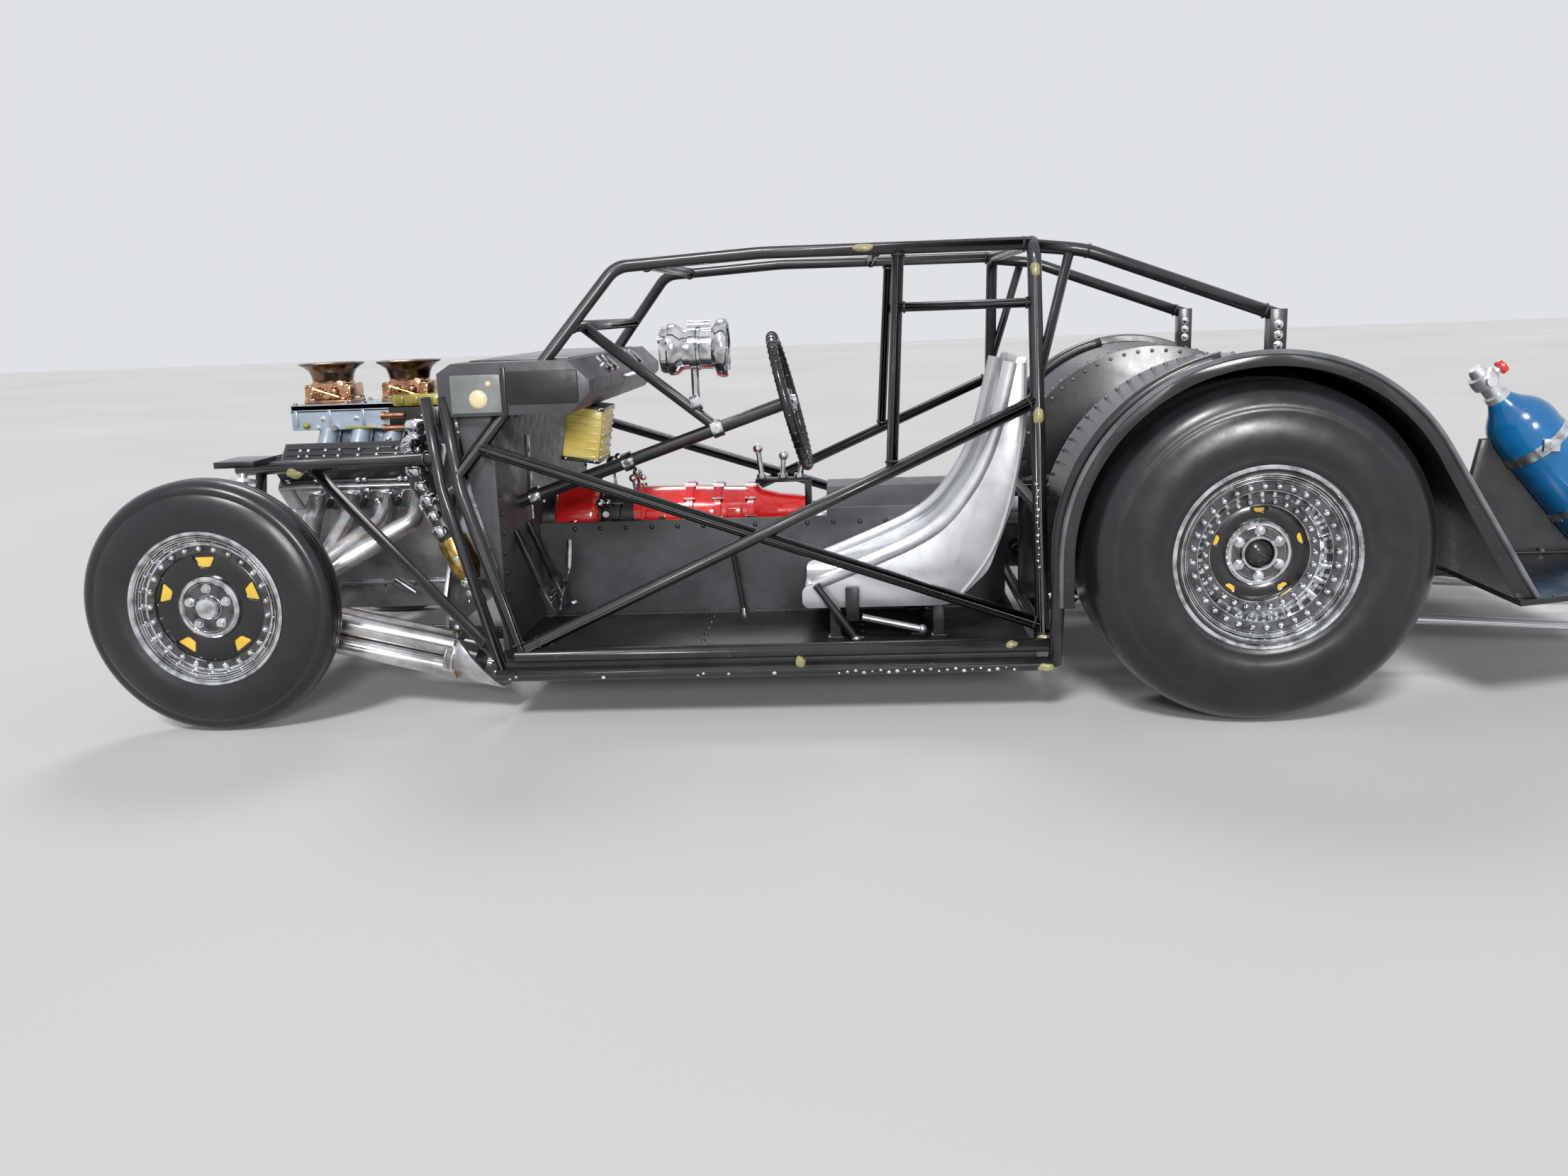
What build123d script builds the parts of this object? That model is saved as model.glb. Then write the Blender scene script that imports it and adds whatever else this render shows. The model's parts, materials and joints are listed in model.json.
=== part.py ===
"""Drag racing car, a 1:25 scale model shown as a rolling chassis with its body shell off.

A welded tube frame with roll cage carries a V8 with two carburettors, a bucket seat,
steering, a driveline with a live rear axle, wide slicks in wheel tubs and wheelie bars.

Millimetres. Every x below is measured forward from the rear axle, y to the car's left and
z up from the floor. The finished pieces are moved back so that the origin lies under the
middle of the whole car.
"""
import os
from collections import namedtuple
from math import acos, atan2, cos, hypot, radians, sin, tan

from build123d import *

# Wheels and stance
WHEELBASE = 110.6
REAR_TYRE_R = 17.5
REAR_TYRE_W = 17.0
REAR_OUTER_Y = 36.5
FRONT_TYRE_R = 13.9
FRONT_TYRE_W = 5.0
FRONT_OUTER_Y = 31.5
REAR_INNER_Y = REAR_OUTER_Y - REAR_TYRE_W
FRONT_INNER_Y = FRONT_OUTER_Y - FRONT_TYRE_W
REAR_RIM_R = 9.3
FRONT_RIM_R = 8.5
REAR_BEAD_R = 8.4
FRONT_BEAD_R = 7.6
FRONT_WINDOW = (4.0, 5.5)
REAR_WINDOW = (3.9, 4.9)
WINDOW_DEPTH = 0.5
FRONT_DISH = 1.9
REAR_DISH = 3.6
REAR_SPINDLE_R = 1.3
FRONT_SPINDLE_R = 1.0
WHEEL_CLEARANCE = 0.05
REAR_DISC_Y = REAR_INNER_Y - 2.1
REAR_DISC_R = 5.6
FRONT_DISC_Y = FRONT_INNER_Y - 1.8
FRONT_DISC_R = 4.6
DISC_T = 0.7

# Sheet and the tubs' size, which set where the hoop stands
SHEET = 0.6
TUB_CLEARANCE = 1.8
TUB_R = REAR_TYRE_R + TUB_CLEARANCE
TUB_TO_HOOP = 1.7

# Stations along the car
HOOP_X = TUB_R + TUB_TO_HOOP
FIREWALL_TO_AXLE = 31.0
ENGINE_TO_AXLE = 10.7
FIREWALL_X = WHEELBASE - FIREWALL_TO_AXLE
ENGINE_X = WHEELBASE - ENGINE_TO_AXLE
DASH_REAR_X = FIREWALL_X - 11.2
DASH_FRONT_X = FIREWALL_X + 5.2

# Frame tubes
MAIN_R = 0.75
CAGE_R = 0.70
BRACE_R = 0.62
SILL_Y = 30.0
SILL_LOW_Z = 5.6
SILL_HIGH_Z = 7.7
SILL_HIGH_FRONT_X = FIREWALL_X - 2.2
HOOP_TOP_Y = 21.3
HOOP_TOP_Z = 49.25
HOOP_FOOT_Y = 29.5
HOOP_BEND = 2.6
ROOF_BAR_Y = HOOP_TOP_Y - 1.1
ROOF_Z = HOOP_TOP_Z - 0.05
CROWN_X = FIREWALL_X - 29.6
CROWN_RISE = 0.1
PILLAR_TOP = (FIREWALL_X - 13.8, ROOF_BAR_Y - 0.2, HOOP_TOP_Z - 0.85)
PILLAR_FOOT = (FIREWALL_X + 3.7, 25.9, 27.0)
HEADER_BAR_X = PILLAR_TOP[0] - 3.3
MID_BAR_X = HOOP_X + 16.6
WINDOW_POST_TOP_X = HOOP_X + 14.2
WINDOW_POST_FOOT_X = HOOP_X + 15.5
WINDOW_BAR_Z = HOOP_TOP_Z - 6.25
COWL_TOP = (FIREWALL_X + 4.8, 25.0, 35.3)
COWL_KNEE = (FIREWALL_X + 3.6, 26.0, 25.5)
COWL_FOOT = (FIREWALL_X - 2.8, 29.9, SILL_HIGH_Z)
COWL_BEND = 8.0
COWL_PAIR_GAP = 2.0
DOOR_DOWN_Z = 29.8
DOOR_DOWN_END_Z = 9.6
DOOR_UP_FRONT = (FIREWALL_X - 3.3, 29.9, 8.4)
DOOR_UP_END_Z = 32.9
CROSS_FRONT_X = FIREWALL_X - 3.6
CROSS_REAR_X = HOOP_X + 19.0
CROSS_TUBE_XS = (CROSS_FRONT_X, (CROSS_FRONT_X + CROSS_REAR_X) / 2, CROSS_REAR_X)
HOOP_CROSS_LOW_Z = 8.6
HOOP_CROSS_MID_Z = 21.6

# Front of the frame
LOWER_RAIL_Y = 12.4
LOWER_RAIL_REAR = (CROSS_FRONT_X, LOWER_RAIL_Y, SILL_LOW_Z)
LOWER_RAIL_FRONT = (WHEELBASE + 6.4, LOWER_RAIL_Y, 8.0)
TOP_RAIL_FRONT = (WHEELBASE + 2.0, 15.0, 27.1)
TOP_RAIL_REAR_Z = 28.8
FRONT_BRACE_X = WHEELBASE - 8.1
FRONT_CROSS_X = LOWER_RAIL_FRONT[0] - 0.7
STRUT_TOP = (WHEELBASE, 18.6, 27.0)
STRUT_FOOT = (WHEELBASE, FRONT_DISC_Y - 2.3, FRONT_TYRE_R - 1.5)
STRUT_R = 1.15
STRUT_ROD_R = 0.55
SPRING_R = 1.7
RACK_X = WHEELBASE + 4.0
RACK_Z = 11.2
RACK_HALF = 8.0
TIE_R = 0.45
TIE_END_Y = FRONT_DISC_Y - 3.3
ARM_R = 0.6
ARM_SPREAD = (-4.4, 2.4)
MOUNT_Z = 27.9
MOUNT_T = 0.7

# Rear of the frame
REAR_RAIL_Y = REAR_INNER_Y - 5.0
REAR_RAIL_TOP_Z = REAR_TYRE_R + 7.5
REAR_RAIL_Z = 11.4
REAR_RAIL_END_X = -46.0
RAIL_BEND = 2.4
BRACKET_X = -4.8
BRACKET_Y = 20.0
BRACKET_Z = REAR_TYRE_R + 23.3
BRACKET_HALF = 0.9
LINK_PLATE_Y = REAR_RAIL_Y - 3.4
LINK_PLATE_T = 0.8
LINK_R = 0.6
LINK_EYE_R = 1.0
LINK_EYE_HALF = 0.75

# Panels
FLOOR_Z = SILL_LOW_Z + CAGE_R
FLOOR_TOP_Z = FLOOR_Z + SHEET
TUNNEL_Y = 6.0
TUNNEL_Z = 18.4
TUNNEL_COVER_Z = 21.6
FIREWALL_TOP_Z = 33.2
FIREWALL_Y = 24.4
BELL_HOLE_R = 5.4
DASH_Y = 25.6
DASH_LOW_Z = 33.2
DASH_TOP_Z = 38.8
DASH_NOSE = 2.2
DASH_BAR_Z = DASH_TOP_Z + 3.4
TUB_INNER_Y = REAR_RAIL_Y + CAGE_R
TUB_OUTER_Y = REAR_OUTER_Y - 1.1
TUB_LIP = 0.9
TUB_FOOT_Z = 12.7
TUB_REAR_X = -TUB_R - 6.3
TUB_ARCH_END = 75.0
ARCH_TUBE_Y = SILL_Y + 1.9
ARCH_TUBE_BITE = 0.15
TRUNK_Z = REAR_RAIL_Z + CAGE_R
TRUNK_REAR_X = REAR_RAIL_END_X - 1.0
TRUNK_REAR_Y = 29.0
BODY_PIN_R = 0.6
BODY_PIN_X = -43.5
BODY_PIN_Y = 23.0

# Engine and driveline
CRANK_Z = 17.0
ENGINE_L = 20.0
DECK_H = 9.2
HEAD_T = 4.3
HEAD_W = 6.4
COVER_T = 2.4
COVER_W = 4.6
COVER_CHAMFER = 0.8
PAN_LOW_Z = 7.9
BLOCK_LOW_Z = 11.4
VALLEY_Z = 23.0
PLENUM_LOW_Z = 30.6
PLENUM_Z = 33.7
PLENUM_HALF_Y = 4.4
PORT_SPACING = 4.1
RUNNER_R = 1.25
CARB_X = ENGINE_X + 1.4
CARB_SPACING = 9.9
CARB_RIM_R = 4.0
CARB_BODY_H = 3.3
CARB_HORN_H = 2.2
CARB_TOP_Z = PLENUM_Z + 5.0
BELL_L = 6.4
BELL_R = 6.6
PLATE_HALF_Y = 13.0
PLATE_T = 0.5
DRIVE_Z = REAR_TYRE_R
GEARBOX_Z = DRIVE_Z + 0.6
GEARBOX_REAR_X = ENGINE_X - 53.1
DRIVESHAFT_R = 1.7
AXLE_TUBE_R = 1.7

# Headers
PRIMARY_R = 1.15
PRIMARY_GAP = 0.1
COLLECTOR_R = 2.6
COLLECTOR_BORE_R = 2.1
BUNDLE_FRONT = (ENGINE_X - 0.4, FRONT_INNER_Y - 4.1, 9.25)
COLLECTOR_FRONT_X = ENGINE_X - 13.9
COLLECTOR_END = (ENGINE_X - 20.3, FRONT_INNER_Y - 1.9, 5.2)

# Cockpit
SEAT_Y = 15.0
SEAT_W = 16.0
SEAT_WALL = 0.9
SEAT_CORNER_R = 1.6
WHEEL_HUB = (DASH_REAR_X - 20.8, SEAT_Y, 33.0)
WHEEL_TILT = 0.25
COLUMN_DROP = 0.333
COLUMN_R = 0.75
COLUMN_BRACE_X = WHEEL_HUB[0] + 8.4
STEERING_R = 7.5
STEERING_TUBE_R = 0.55
TACH_X = DASH_REAR_X - 10.1
TACH_Z = DASH_BAR_Z - 3.0
TACH_R = 2.3
BOX_SPOT = (FIREWALL_X - 7.6, 10.0, 29.9)
LEVER_X = GEARBOX_REAR_X + 3.2
PEDAL_X = FIREWALL_X - 3.2
CAN_R = 1.45

# Rear gear
BOTTLE_R = 3.8
BOTTLE_L = 19.0
BOTTLE_TOP = (-32.4, 12.0, 30.4)
BOTTLE_TILT = 50.0
WHEELIE_X = -60.0
WHEELIE_R = 2.4
WHEELIE_LIFT = 0.4
WHEELIE_BAR_Y = 12.5
WHEELIE_BAR_R = 0.6
WHEELIE_AXLE_R = 0.5

FRONT_X = WHEELBASE + FRONT_TYRE_R
REAR_X = WHEELIE_X - WHEELIE_R
MID_X = (FRONT_X + REAR_X) / 2

pieces = {}


def rod(start, end, radius):
    """Straight round bar between two points."""
    start, end = Vector(*start), Vector(*end)
    run = end - start
    return Solid.make_cylinder(radius, run.length, Plane(origin=start, z_dir=run))


def bent_rod(points, radius, bends):
    """Round bar through points, with a bend radius at each inner one."""
    path = FilletPolyline(*points, radius=bends)
    section = Plane(origin=path @ 0, z_dir=path % 0) * Circle(radius)
    return sweep(section, path=path).solid()


def box(x, y, z):
    """Block between two values on each axis."""
    (x0, x1), (y0, y1), (z0, z1) = x, y, z
    return Pos((x0 + x1) / 2, (y0 + y1) / 2, (z0 + z1) / 2) * Box(x1 - x0, y1 - y0, z1 - z0)


def coped(piece, *neighbours):
    """Cut a piece back to the surfaces it meets and keep its main body."""
    for other in neighbours:
        piece = piece - other
    return piece.solids().sort_by(SortBy.VOLUME)[-1]


def mirrored(piece):
    """The same piece on the right side of the car."""
    return mirror(piece, about=Plane.XZ)


def both(*left):
    """Left pieces and their right twins."""
    return [*left, *[mirrored(piece) for piece in left]]


def keep(name, *solids):
    """File solids under a node's name, in the finished car's frame."""
    flat = []
    for item in solids:
        flat += item if isinstance(item, list) else [item]
    pieces[name] = flat


def add(name, *solids):
    """File more solids under a node that has some already."""
    earlier = pieces[name]
    keep(name, *solids)
    pieces[name] = earlier + pieces[name]


def side_plate(outline, y0, y1):
    """Flat plate cut to an outline in x and z, between two y values."""
    wire = Polyline(*[(x, y0, z) for x, z in outline], close=True)
    return extrude(make_face(wire), amount=y1 - y0, dir=(0, 1, 0)).solid()


def rounded_plate(outline, y0, y1):
    """Flat plate cut to an outline of x, z and corner radius, between two y values."""
    corners = [(x, y0, z) for x, z, _ in outline]
    wire = FilletPolyline(*corners, radius=[r for _, _, r in outline], close=True)
    return extrude(make_face(wire), amount=y1 - y0, dir=(0, 1, 0)).solid()


def cross_plate(outline, x0, x1):
    """Flat plate cut to an outline in y and z, between two x values."""
    wire = Polyline(*[(x0, y, z) for y, z in outline], close=True)
    return extrude(make_face(wire), amount=x1 - x0, dir=(1, 0, 0)).solid()


def turned(outline, centre, toward):
    """Round piece turned from an outline of (distance along, radius) about a line."""
    wire = Polyline(*[(r, 0, h) for h, r in outline], close=True)
    solid = revolve(make_face(wire), axis=Axis.Z).solid()
    return Plane(origin=centre, z_dir=toward).location * solid


def along(start, end, x):
    """Point on a straight line at a given x."""
    t = (x - start[0]) / (end[0] - start[0])
    return tuple(a + (b - a) * t for a, b in zip(start, end))


def at_height(start, end, z):
    """Point on a straight line at a given z."""
    t = (z - start[2]) / (end[2] - start[2])
    return tuple(a + (b - a) * t for a, b in zip(start, end))


def offset_x(point, dx):
    """Point moved forward."""
    return (point[0] + dx, point[1], point[2])


def across(x, z, y, radius):
    """Straight tube from side to side."""
    return rod((x, -y, z), (x, y, z), radius)


def build_cage():
    """Side rails, hoop, roof bars, posts and door bars, each cut to fit the last."""
    low = rod((HOOP_X - MAIN_R, SILL_Y, SILL_LOW_Z), (FIREWALL_X, SILL_Y, SILL_LOW_Z), MAIN_R)
    high = rod((HOOP_X - MAIN_R, SILL_Y, SILL_HIGH_Z), (SILL_HIGH_FRONT_X, SILL_Y, SILL_HIGH_Z), MAIN_R)
    rails = both(low, high)
    keep("side_rails", rails)

    cross = [coped(across(x, SILL_LOW_Z, SILL_Y, CAGE_R), *rails) for x in CROSS_TUBE_XS]

    foot, top = (HOOP_X, HOOP_FOOT_Y, SILL_HIGH_Z), (HOOP_X, HOOP_TOP_Y, HOOP_TOP_Z)
    far_top, far_foot = (HOOP_X, -HOOP_TOP_Y, HOOP_TOP_Z), (HOOP_X, -HOOP_FOOT_Y, SILL_HIGH_Z)
    hoop = coped(bent_rod([foot, top, far_top, far_foot], MAIN_R, [HOOP_BEND, HOOP_BEND]), *rails)
    keep("main_hoop", hoop)
    hoop_cross = []
    for z in (HOOP_CROSS_LOW_Z, HOOP_CROSS_MID_Z):
        leg = at_height(foot, top, z)
        hoop_cross.append(coped(across(HOOP_X, z, leg[1], CAGE_R), hoop, *rails))
    keep("cross_tubes", cross, hoop_cross)

    post = coped(bent_rod([COWL_TOP, COWL_KNEE, COWL_FOOT], CAGE_R, [COWL_BEND]), high)
    pair_top, pair_knee = offset_x(COWL_TOP, COWL_PAIR_GAP), offset_x(COWL_KNEE, COWL_PAIR_GAP)
    pair_foot = (COWL_FOOT[0] + COWL_PAIR_GAP, COWL_FOOT[1], SILL_LOW_Z)
    pair = bent_rod([pair_top, pair_knee, pair_foot], BRACE_R, [COWL_BEND])
    pair = coped(pair, low, high, post)
    posts = both(post, pair)
    keep("uprights", posts)

    crown = (CROWN_X, ROOF_BAR_Y, ROOF_Z + CROWN_RISE)
    roof_end = (HOOP_X, ROOF_BAR_Y, ROOF_Z)
    roof_bar = bent_rod([PILLAR_FOOT, PILLAR_TOP, crown, roof_end], CAGE_R, [3.0, 30.0])
    roof_bar = coped(roof_bar, hoop, post)
    roof = both(roof_bar)
    keep("roof_bars", roof)

    down_front = at_height(PILLAR_TOP, PILLAR_FOOT, DOOR_DOWN_Z)
    down_end = at_height(foot, top, DOOR_DOWN_END_Z)
    down = coped(rod(down_front, down_end, CAGE_R), hoop, roof_bar, post)
    keep("door_bars_down", both(down))
    up_end = at_height(foot, top, DOOR_UP_END_Z)
    slope_down = (down_end[2] - down_front[2]) / (down_end[0] - down_front[0])
    slope_up = (up_end[2] - DOOR_UP_FRONT[2]) / (up_end[0] - DOOR_UP_FRONT[0])
    rise = down_front[2] - slope_down * down_front[0] - DOOR_UP_FRONT[2] + slope_up * DOOR_UP_FRONT[0]
    meet = along(DOOR_UP_FRONT, up_end, rise / (slope_up - slope_down))
    up_low = coped(rod(DOOR_UP_FRONT, meet, CAGE_R), down, post, high)
    up_high = coped(rod(meet, up_end, CAGE_R), down, hoop)
    keep("door_bars_up", both(up_low, up_high))

    post_top = along(crown, roof_end, WINDOW_POST_TOP_X)
    post_foot = along(DOOR_UP_FRONT, up_end, WINDOW_POST_FOOT_X)
    window_post = coped(rod(post_top, post_foot, BRACE_R), roof_bar, up_high)
    add("uprights", both(window_post))

    header_y = along(PILLAR_TOP, crown, HEADER_BAR_X)
    header = coped(across(HEADER_BAR_X, header_y[2], header_y[1], BRACE_R), *roof)
    mid = coped(across(MID_BAR_X, ROOF_Z, ROOF_BAR_Y, BRACE_R), *roof)
    dash_y = at_height(PILLAR_TOP, PILLAR_FOOT, DASH_BAR_Z)
    dash_bar = coped(across(dash_y[0], DASH_BAR_Z, dash_y[1], BRACE_R), *roof)
    window_front = at_height(post_foot, post_top, WINDOW_BAR_Z)
    window_rear = at_height(foot, top, WINDOW_BAR_Z)
    window_bar = coped(rod(window_front, window_rear, BRACE_R * 0.8), hoop, window_post)
    keep("roof_cross_bars", header, mid, dash_bar, both(window_bar))

    return {
        "rails": rails, "low": low, "high": high, "hoop": hoop, "hoop_cross": hoop_cross,
        "cross": cross, "posts": posts, "post": post, "pair": pair, "roof": roof, "dash_x": dash_y[0],
        "dash_bar": dash_bar, "pair_top": pair_top, "pair_knee": pair_knee, "pair_foot": pair_foot,
        "hoop_leg": (foot, top),
    }


def build_front_frame(cage):
    """Rails ahead of the firewall, their cross tubes, and the down braces."""
    lower = rod(LOWER_RAIL_REAR, LOWER_RAIL_FRONT, MAIN_R)
    lower = coped(lower, cage["cross"][0])
    lowers = both(lower)
    keep("front_rails", lowers)

    pair_at = at_height(cage["pair_top"], cage["pair_knee"], TOP_RAIL_REAR_Z)
    top = coped(rod(pair_at, TOP_RAIL_FRONT, MAIN_R), cage["pair"])
    tops = both(top)
    add("front_rails", tops)

    brace_top = along(pair_at, TOP_RAIL_FRONT, FRONT_BRACE_X)
    brace_foot = (cage["pair_foot"][0] + 0.8, cage["pair_foot"][1] - 0.5, SILL_LOW_Z + 1.9)
    brace = coped(rod(brace_top, brace_foot, BRACE_R), top, cage["pair"], cage["low"], cage["post"])
    keep("front_braces", both(brace))

    low_cross = coped(across(FRONT_CROSS_X, LOWER_RAIL_FRONT[2], LOWER_RAIL_Y, CAGE_R), *lowers)
    up_at = along(pair_at, TOP_RAIL_FRONT, TOP_RAIL_FRONT[0] - 1.0)
    top_cross = coped(across(up_at[0], up_at[2], up_at[1], CAGE_R), *tops)
    foot = along(LOWER_RAIL_REAR, LOWER_RAIL_FRONT, FRONT_CROSS_X - 2.6)
    head = along(pair_at, TOP_RAIL_FRONT, TOP_RAIL_FRONT[0] - 3.2)
    upright = coped(rod(foot, head, BRACE_R), lower, top)
    add("front_braces", low_cross, top_cross, both(upright))
    return {"lowers": lowers, "tops": tops, "low_cross": low_cross, "pair_at": pair_at}


def build_rear_frame(cage):
    """Rails over the axle, the braces from the hoop to the wheel tubs, and their cross tubes."""
    points = [
        (HOOP_X, REAR_RAIL_Y, HOOP_CROSS_LOW_Z),
        (HOOP_X - 5.4, REAR_RAIL_Y, HOOP_CROSS_LOW_Z),
        (8.6, REAR_RAIL_Y, REAR_RAIL_TOP_Z),
        (-8.6, REAR_RAIL_Y, REAR_RAIL_TOP_Z),
        (-19.0, REAR_RAIL_Y, REAR_RAIL_Z),
        (REAR_RAIL_END_X, REAR_RAIL_Y, REAR_RAIL_Z),
    ]
    rail = coped(bent_rod(points, CAGE_R, [RAIL_BEND] * 4), *cage["hoop_cross"])
    rails = both(rail)
    keep("rear_frame", rails)
    top_cross = coped(across(-5.2, REAR_RAIL_TOP_Z, REAR_RAIL_Y, BRACE_R), *rails)
    end_cross = coped(across(REAR_RAIL_END_X + 0.9, REAR_RAIL_Z, REAR_RAIL_Y, BRACE_R), *rails)
    add("cross_tubes", top_cross, end_cross)

    corner = (HOOP_X - 0.3, HOOP_TOP_Y - 0.9, HOOP_TOP_Z - 0.4)
    brace = bent_rod(
        [corner, (HOOP_X - 5.6, HOOP_TOP_Y - 1.0, HOOP_TOP_Z - 1.0), (BRACKET_X, BRACKET_Y, BRACKET_Z)],
        CAGE_R,
        [12.0],
    )
    brace = coped(brace, cage["hoop"], *cage["roof"])
    gusset_top = (HOOP_X - 3.7, HOOP_TOP_Y - 0.3, HOOP_TOP_Z - 1.4)
    gusset_end = at_height(*cage["hoop_leg"], HOOP_TOP_Z - 14.65)
    gusset = coped(rod(gusset_top, gusset_end, BRACE_R * 0.85), brace, cage["hoop"])
    add("rear_frame", both(brace))
    add("uprights", both(gusset))
    return {"rails": rails, "top_cross": top_cross, "brace": brace}


def tub_outline(radius, foot_z, rear_x):
    """Arch in x and z: up the front, round over the tyre and straight down the back."""
    centre_z = REAR_TYRE_R
    far = hypot(rear_x, foot_z - centre_z)
    lean = atan2(foot_z - centre_z, rear_x)
    touch = lean - acos(radius / far)
    tangent = (radius * cos(touch), centre_z + radius * sin(touch))
    front = (radius, centre_z)
    top = (radius * cos(radians(TUB_ARCH_END)), centre_z + radius * sin(radians(TUB_ARCH_END)))
    return front, top, tangent


def arch_face(radius, foot_z, rear_x, y):
    """Closed face under the arch, at one y."""
    front, top, tangent = tub_outline(radius, foot_z, rear_x)
    foot = (radius, foot_z)
    rear = (rear_x, foot_z)

    def at(point):
        return (point[0], y, point[1])

    edges = [
        Line(at(foot), at(front)),
        ThreePointArc(at(front), at(top), at(tangent)),
        Line(at(tangent), at(rear)),
        Line(at(rear), at(foot)),
    ]
    return make_face(edges)


def build_tubs(cage):
    """Wheel tubs: an arched sheet with a raised outer lip over each slick, and the tube that carries it."""
    depth = TUB_OUTER_Y - TUB_INNER_Y
    outer = extrude(arch_face(TUB_R, TUB_FOOT_Z, TUB_REAR_X, TUB_INNER_Y), amount=depth, dir=(0, 1, 0))
    inner = extrude(
        arch_face(TUB_R - SHEET, TUB_FOOT_Z - 1, TUB_REAR_X + SHEET * 1.2, TUB_INNER_Y + SHEET),
        amount=depth,
        dir=(0, 1, 0),
    )
    lip_face = arch_face(TUB_R + TUB_LIP, TUB_FOOT_Z, TUB_REAR_X - TUB_LIP, TUB_OUTER_Y - SHEET)
    lip = extrude(lip_face, amount=SHEET, dir=(0, 1, 0))
    tub = (outer + lip) - inner
    axle_slot = box((-3.4, 3.4), (TUB_INNER_Y - 1, TUB_INNER_Y + 2), (TUB_FOOT_Z - 1, DRIVE_Z + 3.4))
    tub = (tub - axle_slot).solids().sort_by(SortBy.VOLUME)[-1]
    bracket = box(
        (BRACKET_X - BRACKET_HALF, BRACKET_X + BRACKET_HALF),
        (BRACKET_Y - BRACKET_HALF, BRACKET_Y + BRACKET_HALF),
        (REAR_TYRE_R + TUB_R - 2.8, BRACKET_Z + 0.6),
    )
    bracket = coped(bracket, outer.solid(), cage["rear_brace"])
    arch_r = TUB_R + CAGE_R - ARCH_TUBE_BITE
    turn = radians(TUB_ARCH_END)
    corner_z = REAR_TYRE_R + arch_r * tan(turn / 2)
    reach = arch_r * tan(turn / 2) + 1.0
    arch_points = [
        (arch_r, SILL_Y, SILL_LOW_Z),
        (arch_r, ARCH_TUBE_Y, TUB_FOOT_Z - 1.0),
        (arch_r, ARCH_TUBE_Y, corner_z),
        (arch_r - reach * sin(turn), ARCH_TUBE_Y, corner_z + reach * cos(turn)),
    ]
    arch = coped(bent_rod(arch_points, CAGE_R, [4.0, arch_r]), tub, cage["hoop"], *cage["rails"])
    keep("wheel_tubs", both(tub))
    keep("tub_tubes", both(arch))
    keep("frame_brackets", both(bracket))


def build_panels(cage, front, rear):
    """Floor, tunnel, firewall, dashboard and trunk floor."""
    floor = box((HOOP_X + CAGE_R, FIREWALL_X + SHEET), (-SILL_Y, SILL_Y), (FLOOR_Z, FLOOR_TOP_Z))
    floor = coped(floor, *cage["rails"], *cage["posts"], *front["lowers"])
    keep("floor_pan", floor)

    wall = box((HOOP_X + 1.4, FIREWALL_X), (TUNNEL_Y, TUNNEL_Y + SHEET), (FLOOR_TOP_Z, TUNNEL_Z))
    cover_half = [
        # y, z from the right foot of the cover's outside to the middle of its top
        (TUNNEL_Y + SHEET, TUNNEL_Z), (TUNNEL_Y + SHEET, TUNNEL_Z + 1.0), (3.4, TUNNEL_COVER_Z),
    ]
    inner_half = [(3.1, TUNNEL_COVER_Z - SHEET), (TUNNEL_Y, TUNNEL_Z + 0.7), (TUNNEL_Y, TUNNEL_Z)]
    cover = cross_plate(
        cover_half + [(-y, z) for y, z in reversed(cover_half)]
        + [(-y, z) for y, z in reversed(inner_half)] + inner_half,
        HOOP_X + 1.4,
        GEARBOX_REAR_X - 2.8,
    )
    keep("tunnel", (wall + mirrored(wall) + cover).solid())

    wall_outline = [
        (-FIREWALL_Y, FLOOR_TOP_Z), (FIREWALL_Y, FLOOR_TOP_Z), (FIREWALL_Y, FIREWALL_TOP_Z),
        (-FIREWALL_Y, FIREWALL_TOP_Z),
    ]
    firewall = cross_plate(wall_outline, FIREWALL_X, FIREWALL_X + SHEET)
    hole = rod((FIREWALL_X - 2, 0, CRANK_Z), (FIREWALL_X + 3, 0, CRANK_Z), BELL_HOLE_R)
    wing = side_plate(
        [
            (FIREWALL_X + SHEET, 16.5), (FIREWALL_X + 2.8, 25.0), (FIREWALL_X + 3.8, FIREWALL_TOP_Z),
            (FIREWALL_X + SHEET, FIREWALL_TOP_Z),
        ],
        FIREWALL_Y - SHEET,
        FIREWALL_Y,
    )
    firewall = coped(firewall + wing + mirrored(wing) - hole, *cage["roof"], *cage["posts"])
    keep("firewall", firewall)

    outline = [
        (DASH_FRONT_X, DASH_LOW_Z), (DASH_FRONT_X, DASH_TOP_Z - 1.0), (DASH_FRONT_X - 1.6, DASH_TOP_Z),
        (DASH_REAR_X + DASH_NOSE, DASH_TOP_Z), (DASH_REAR_X, DASH_TOP_Z - DASH_NOSE),
        (DASH_REAR_X, DASH_LOW_Z + DASH_NOSE), (DASH_REAR_X + DASH_NOSE, DASH_LOW_Z),
    ]
    dash = side_plate(outline, -DASH_Y, DASH_Y)
    dash = coped(dash, *cage["roof"], *cage["posts"])
    keep("dashboard", dash)

    half = TUB_OUTER_Y + TUB_LIP
    trunk = (
        Pos(0, 0, TRUNK_Z)
        * extrude(
            make_face(
                Polyline(
                    (TUB_REAR_X + 1.2, -half), (TUB_REAR_X + 1.2, half), (TRUNK_REAR_X, TRUNK_REAR_Y),
                    (TRUNK_REAR_X, -TRUNK_REAR_Y), close=True,
                )
            ),
            amount=SHEET,
        )
    ).solid()
    for side in (1, -1):
        trunk = trunk - Pos(BODY_PIN_X, side * BODY_PIN_Y, TRUNK_Z) * Cylinder(BODY_PIN_R, 4)
    keep("trunk_floor", coped(trunk, *rear["rails"]))


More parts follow.
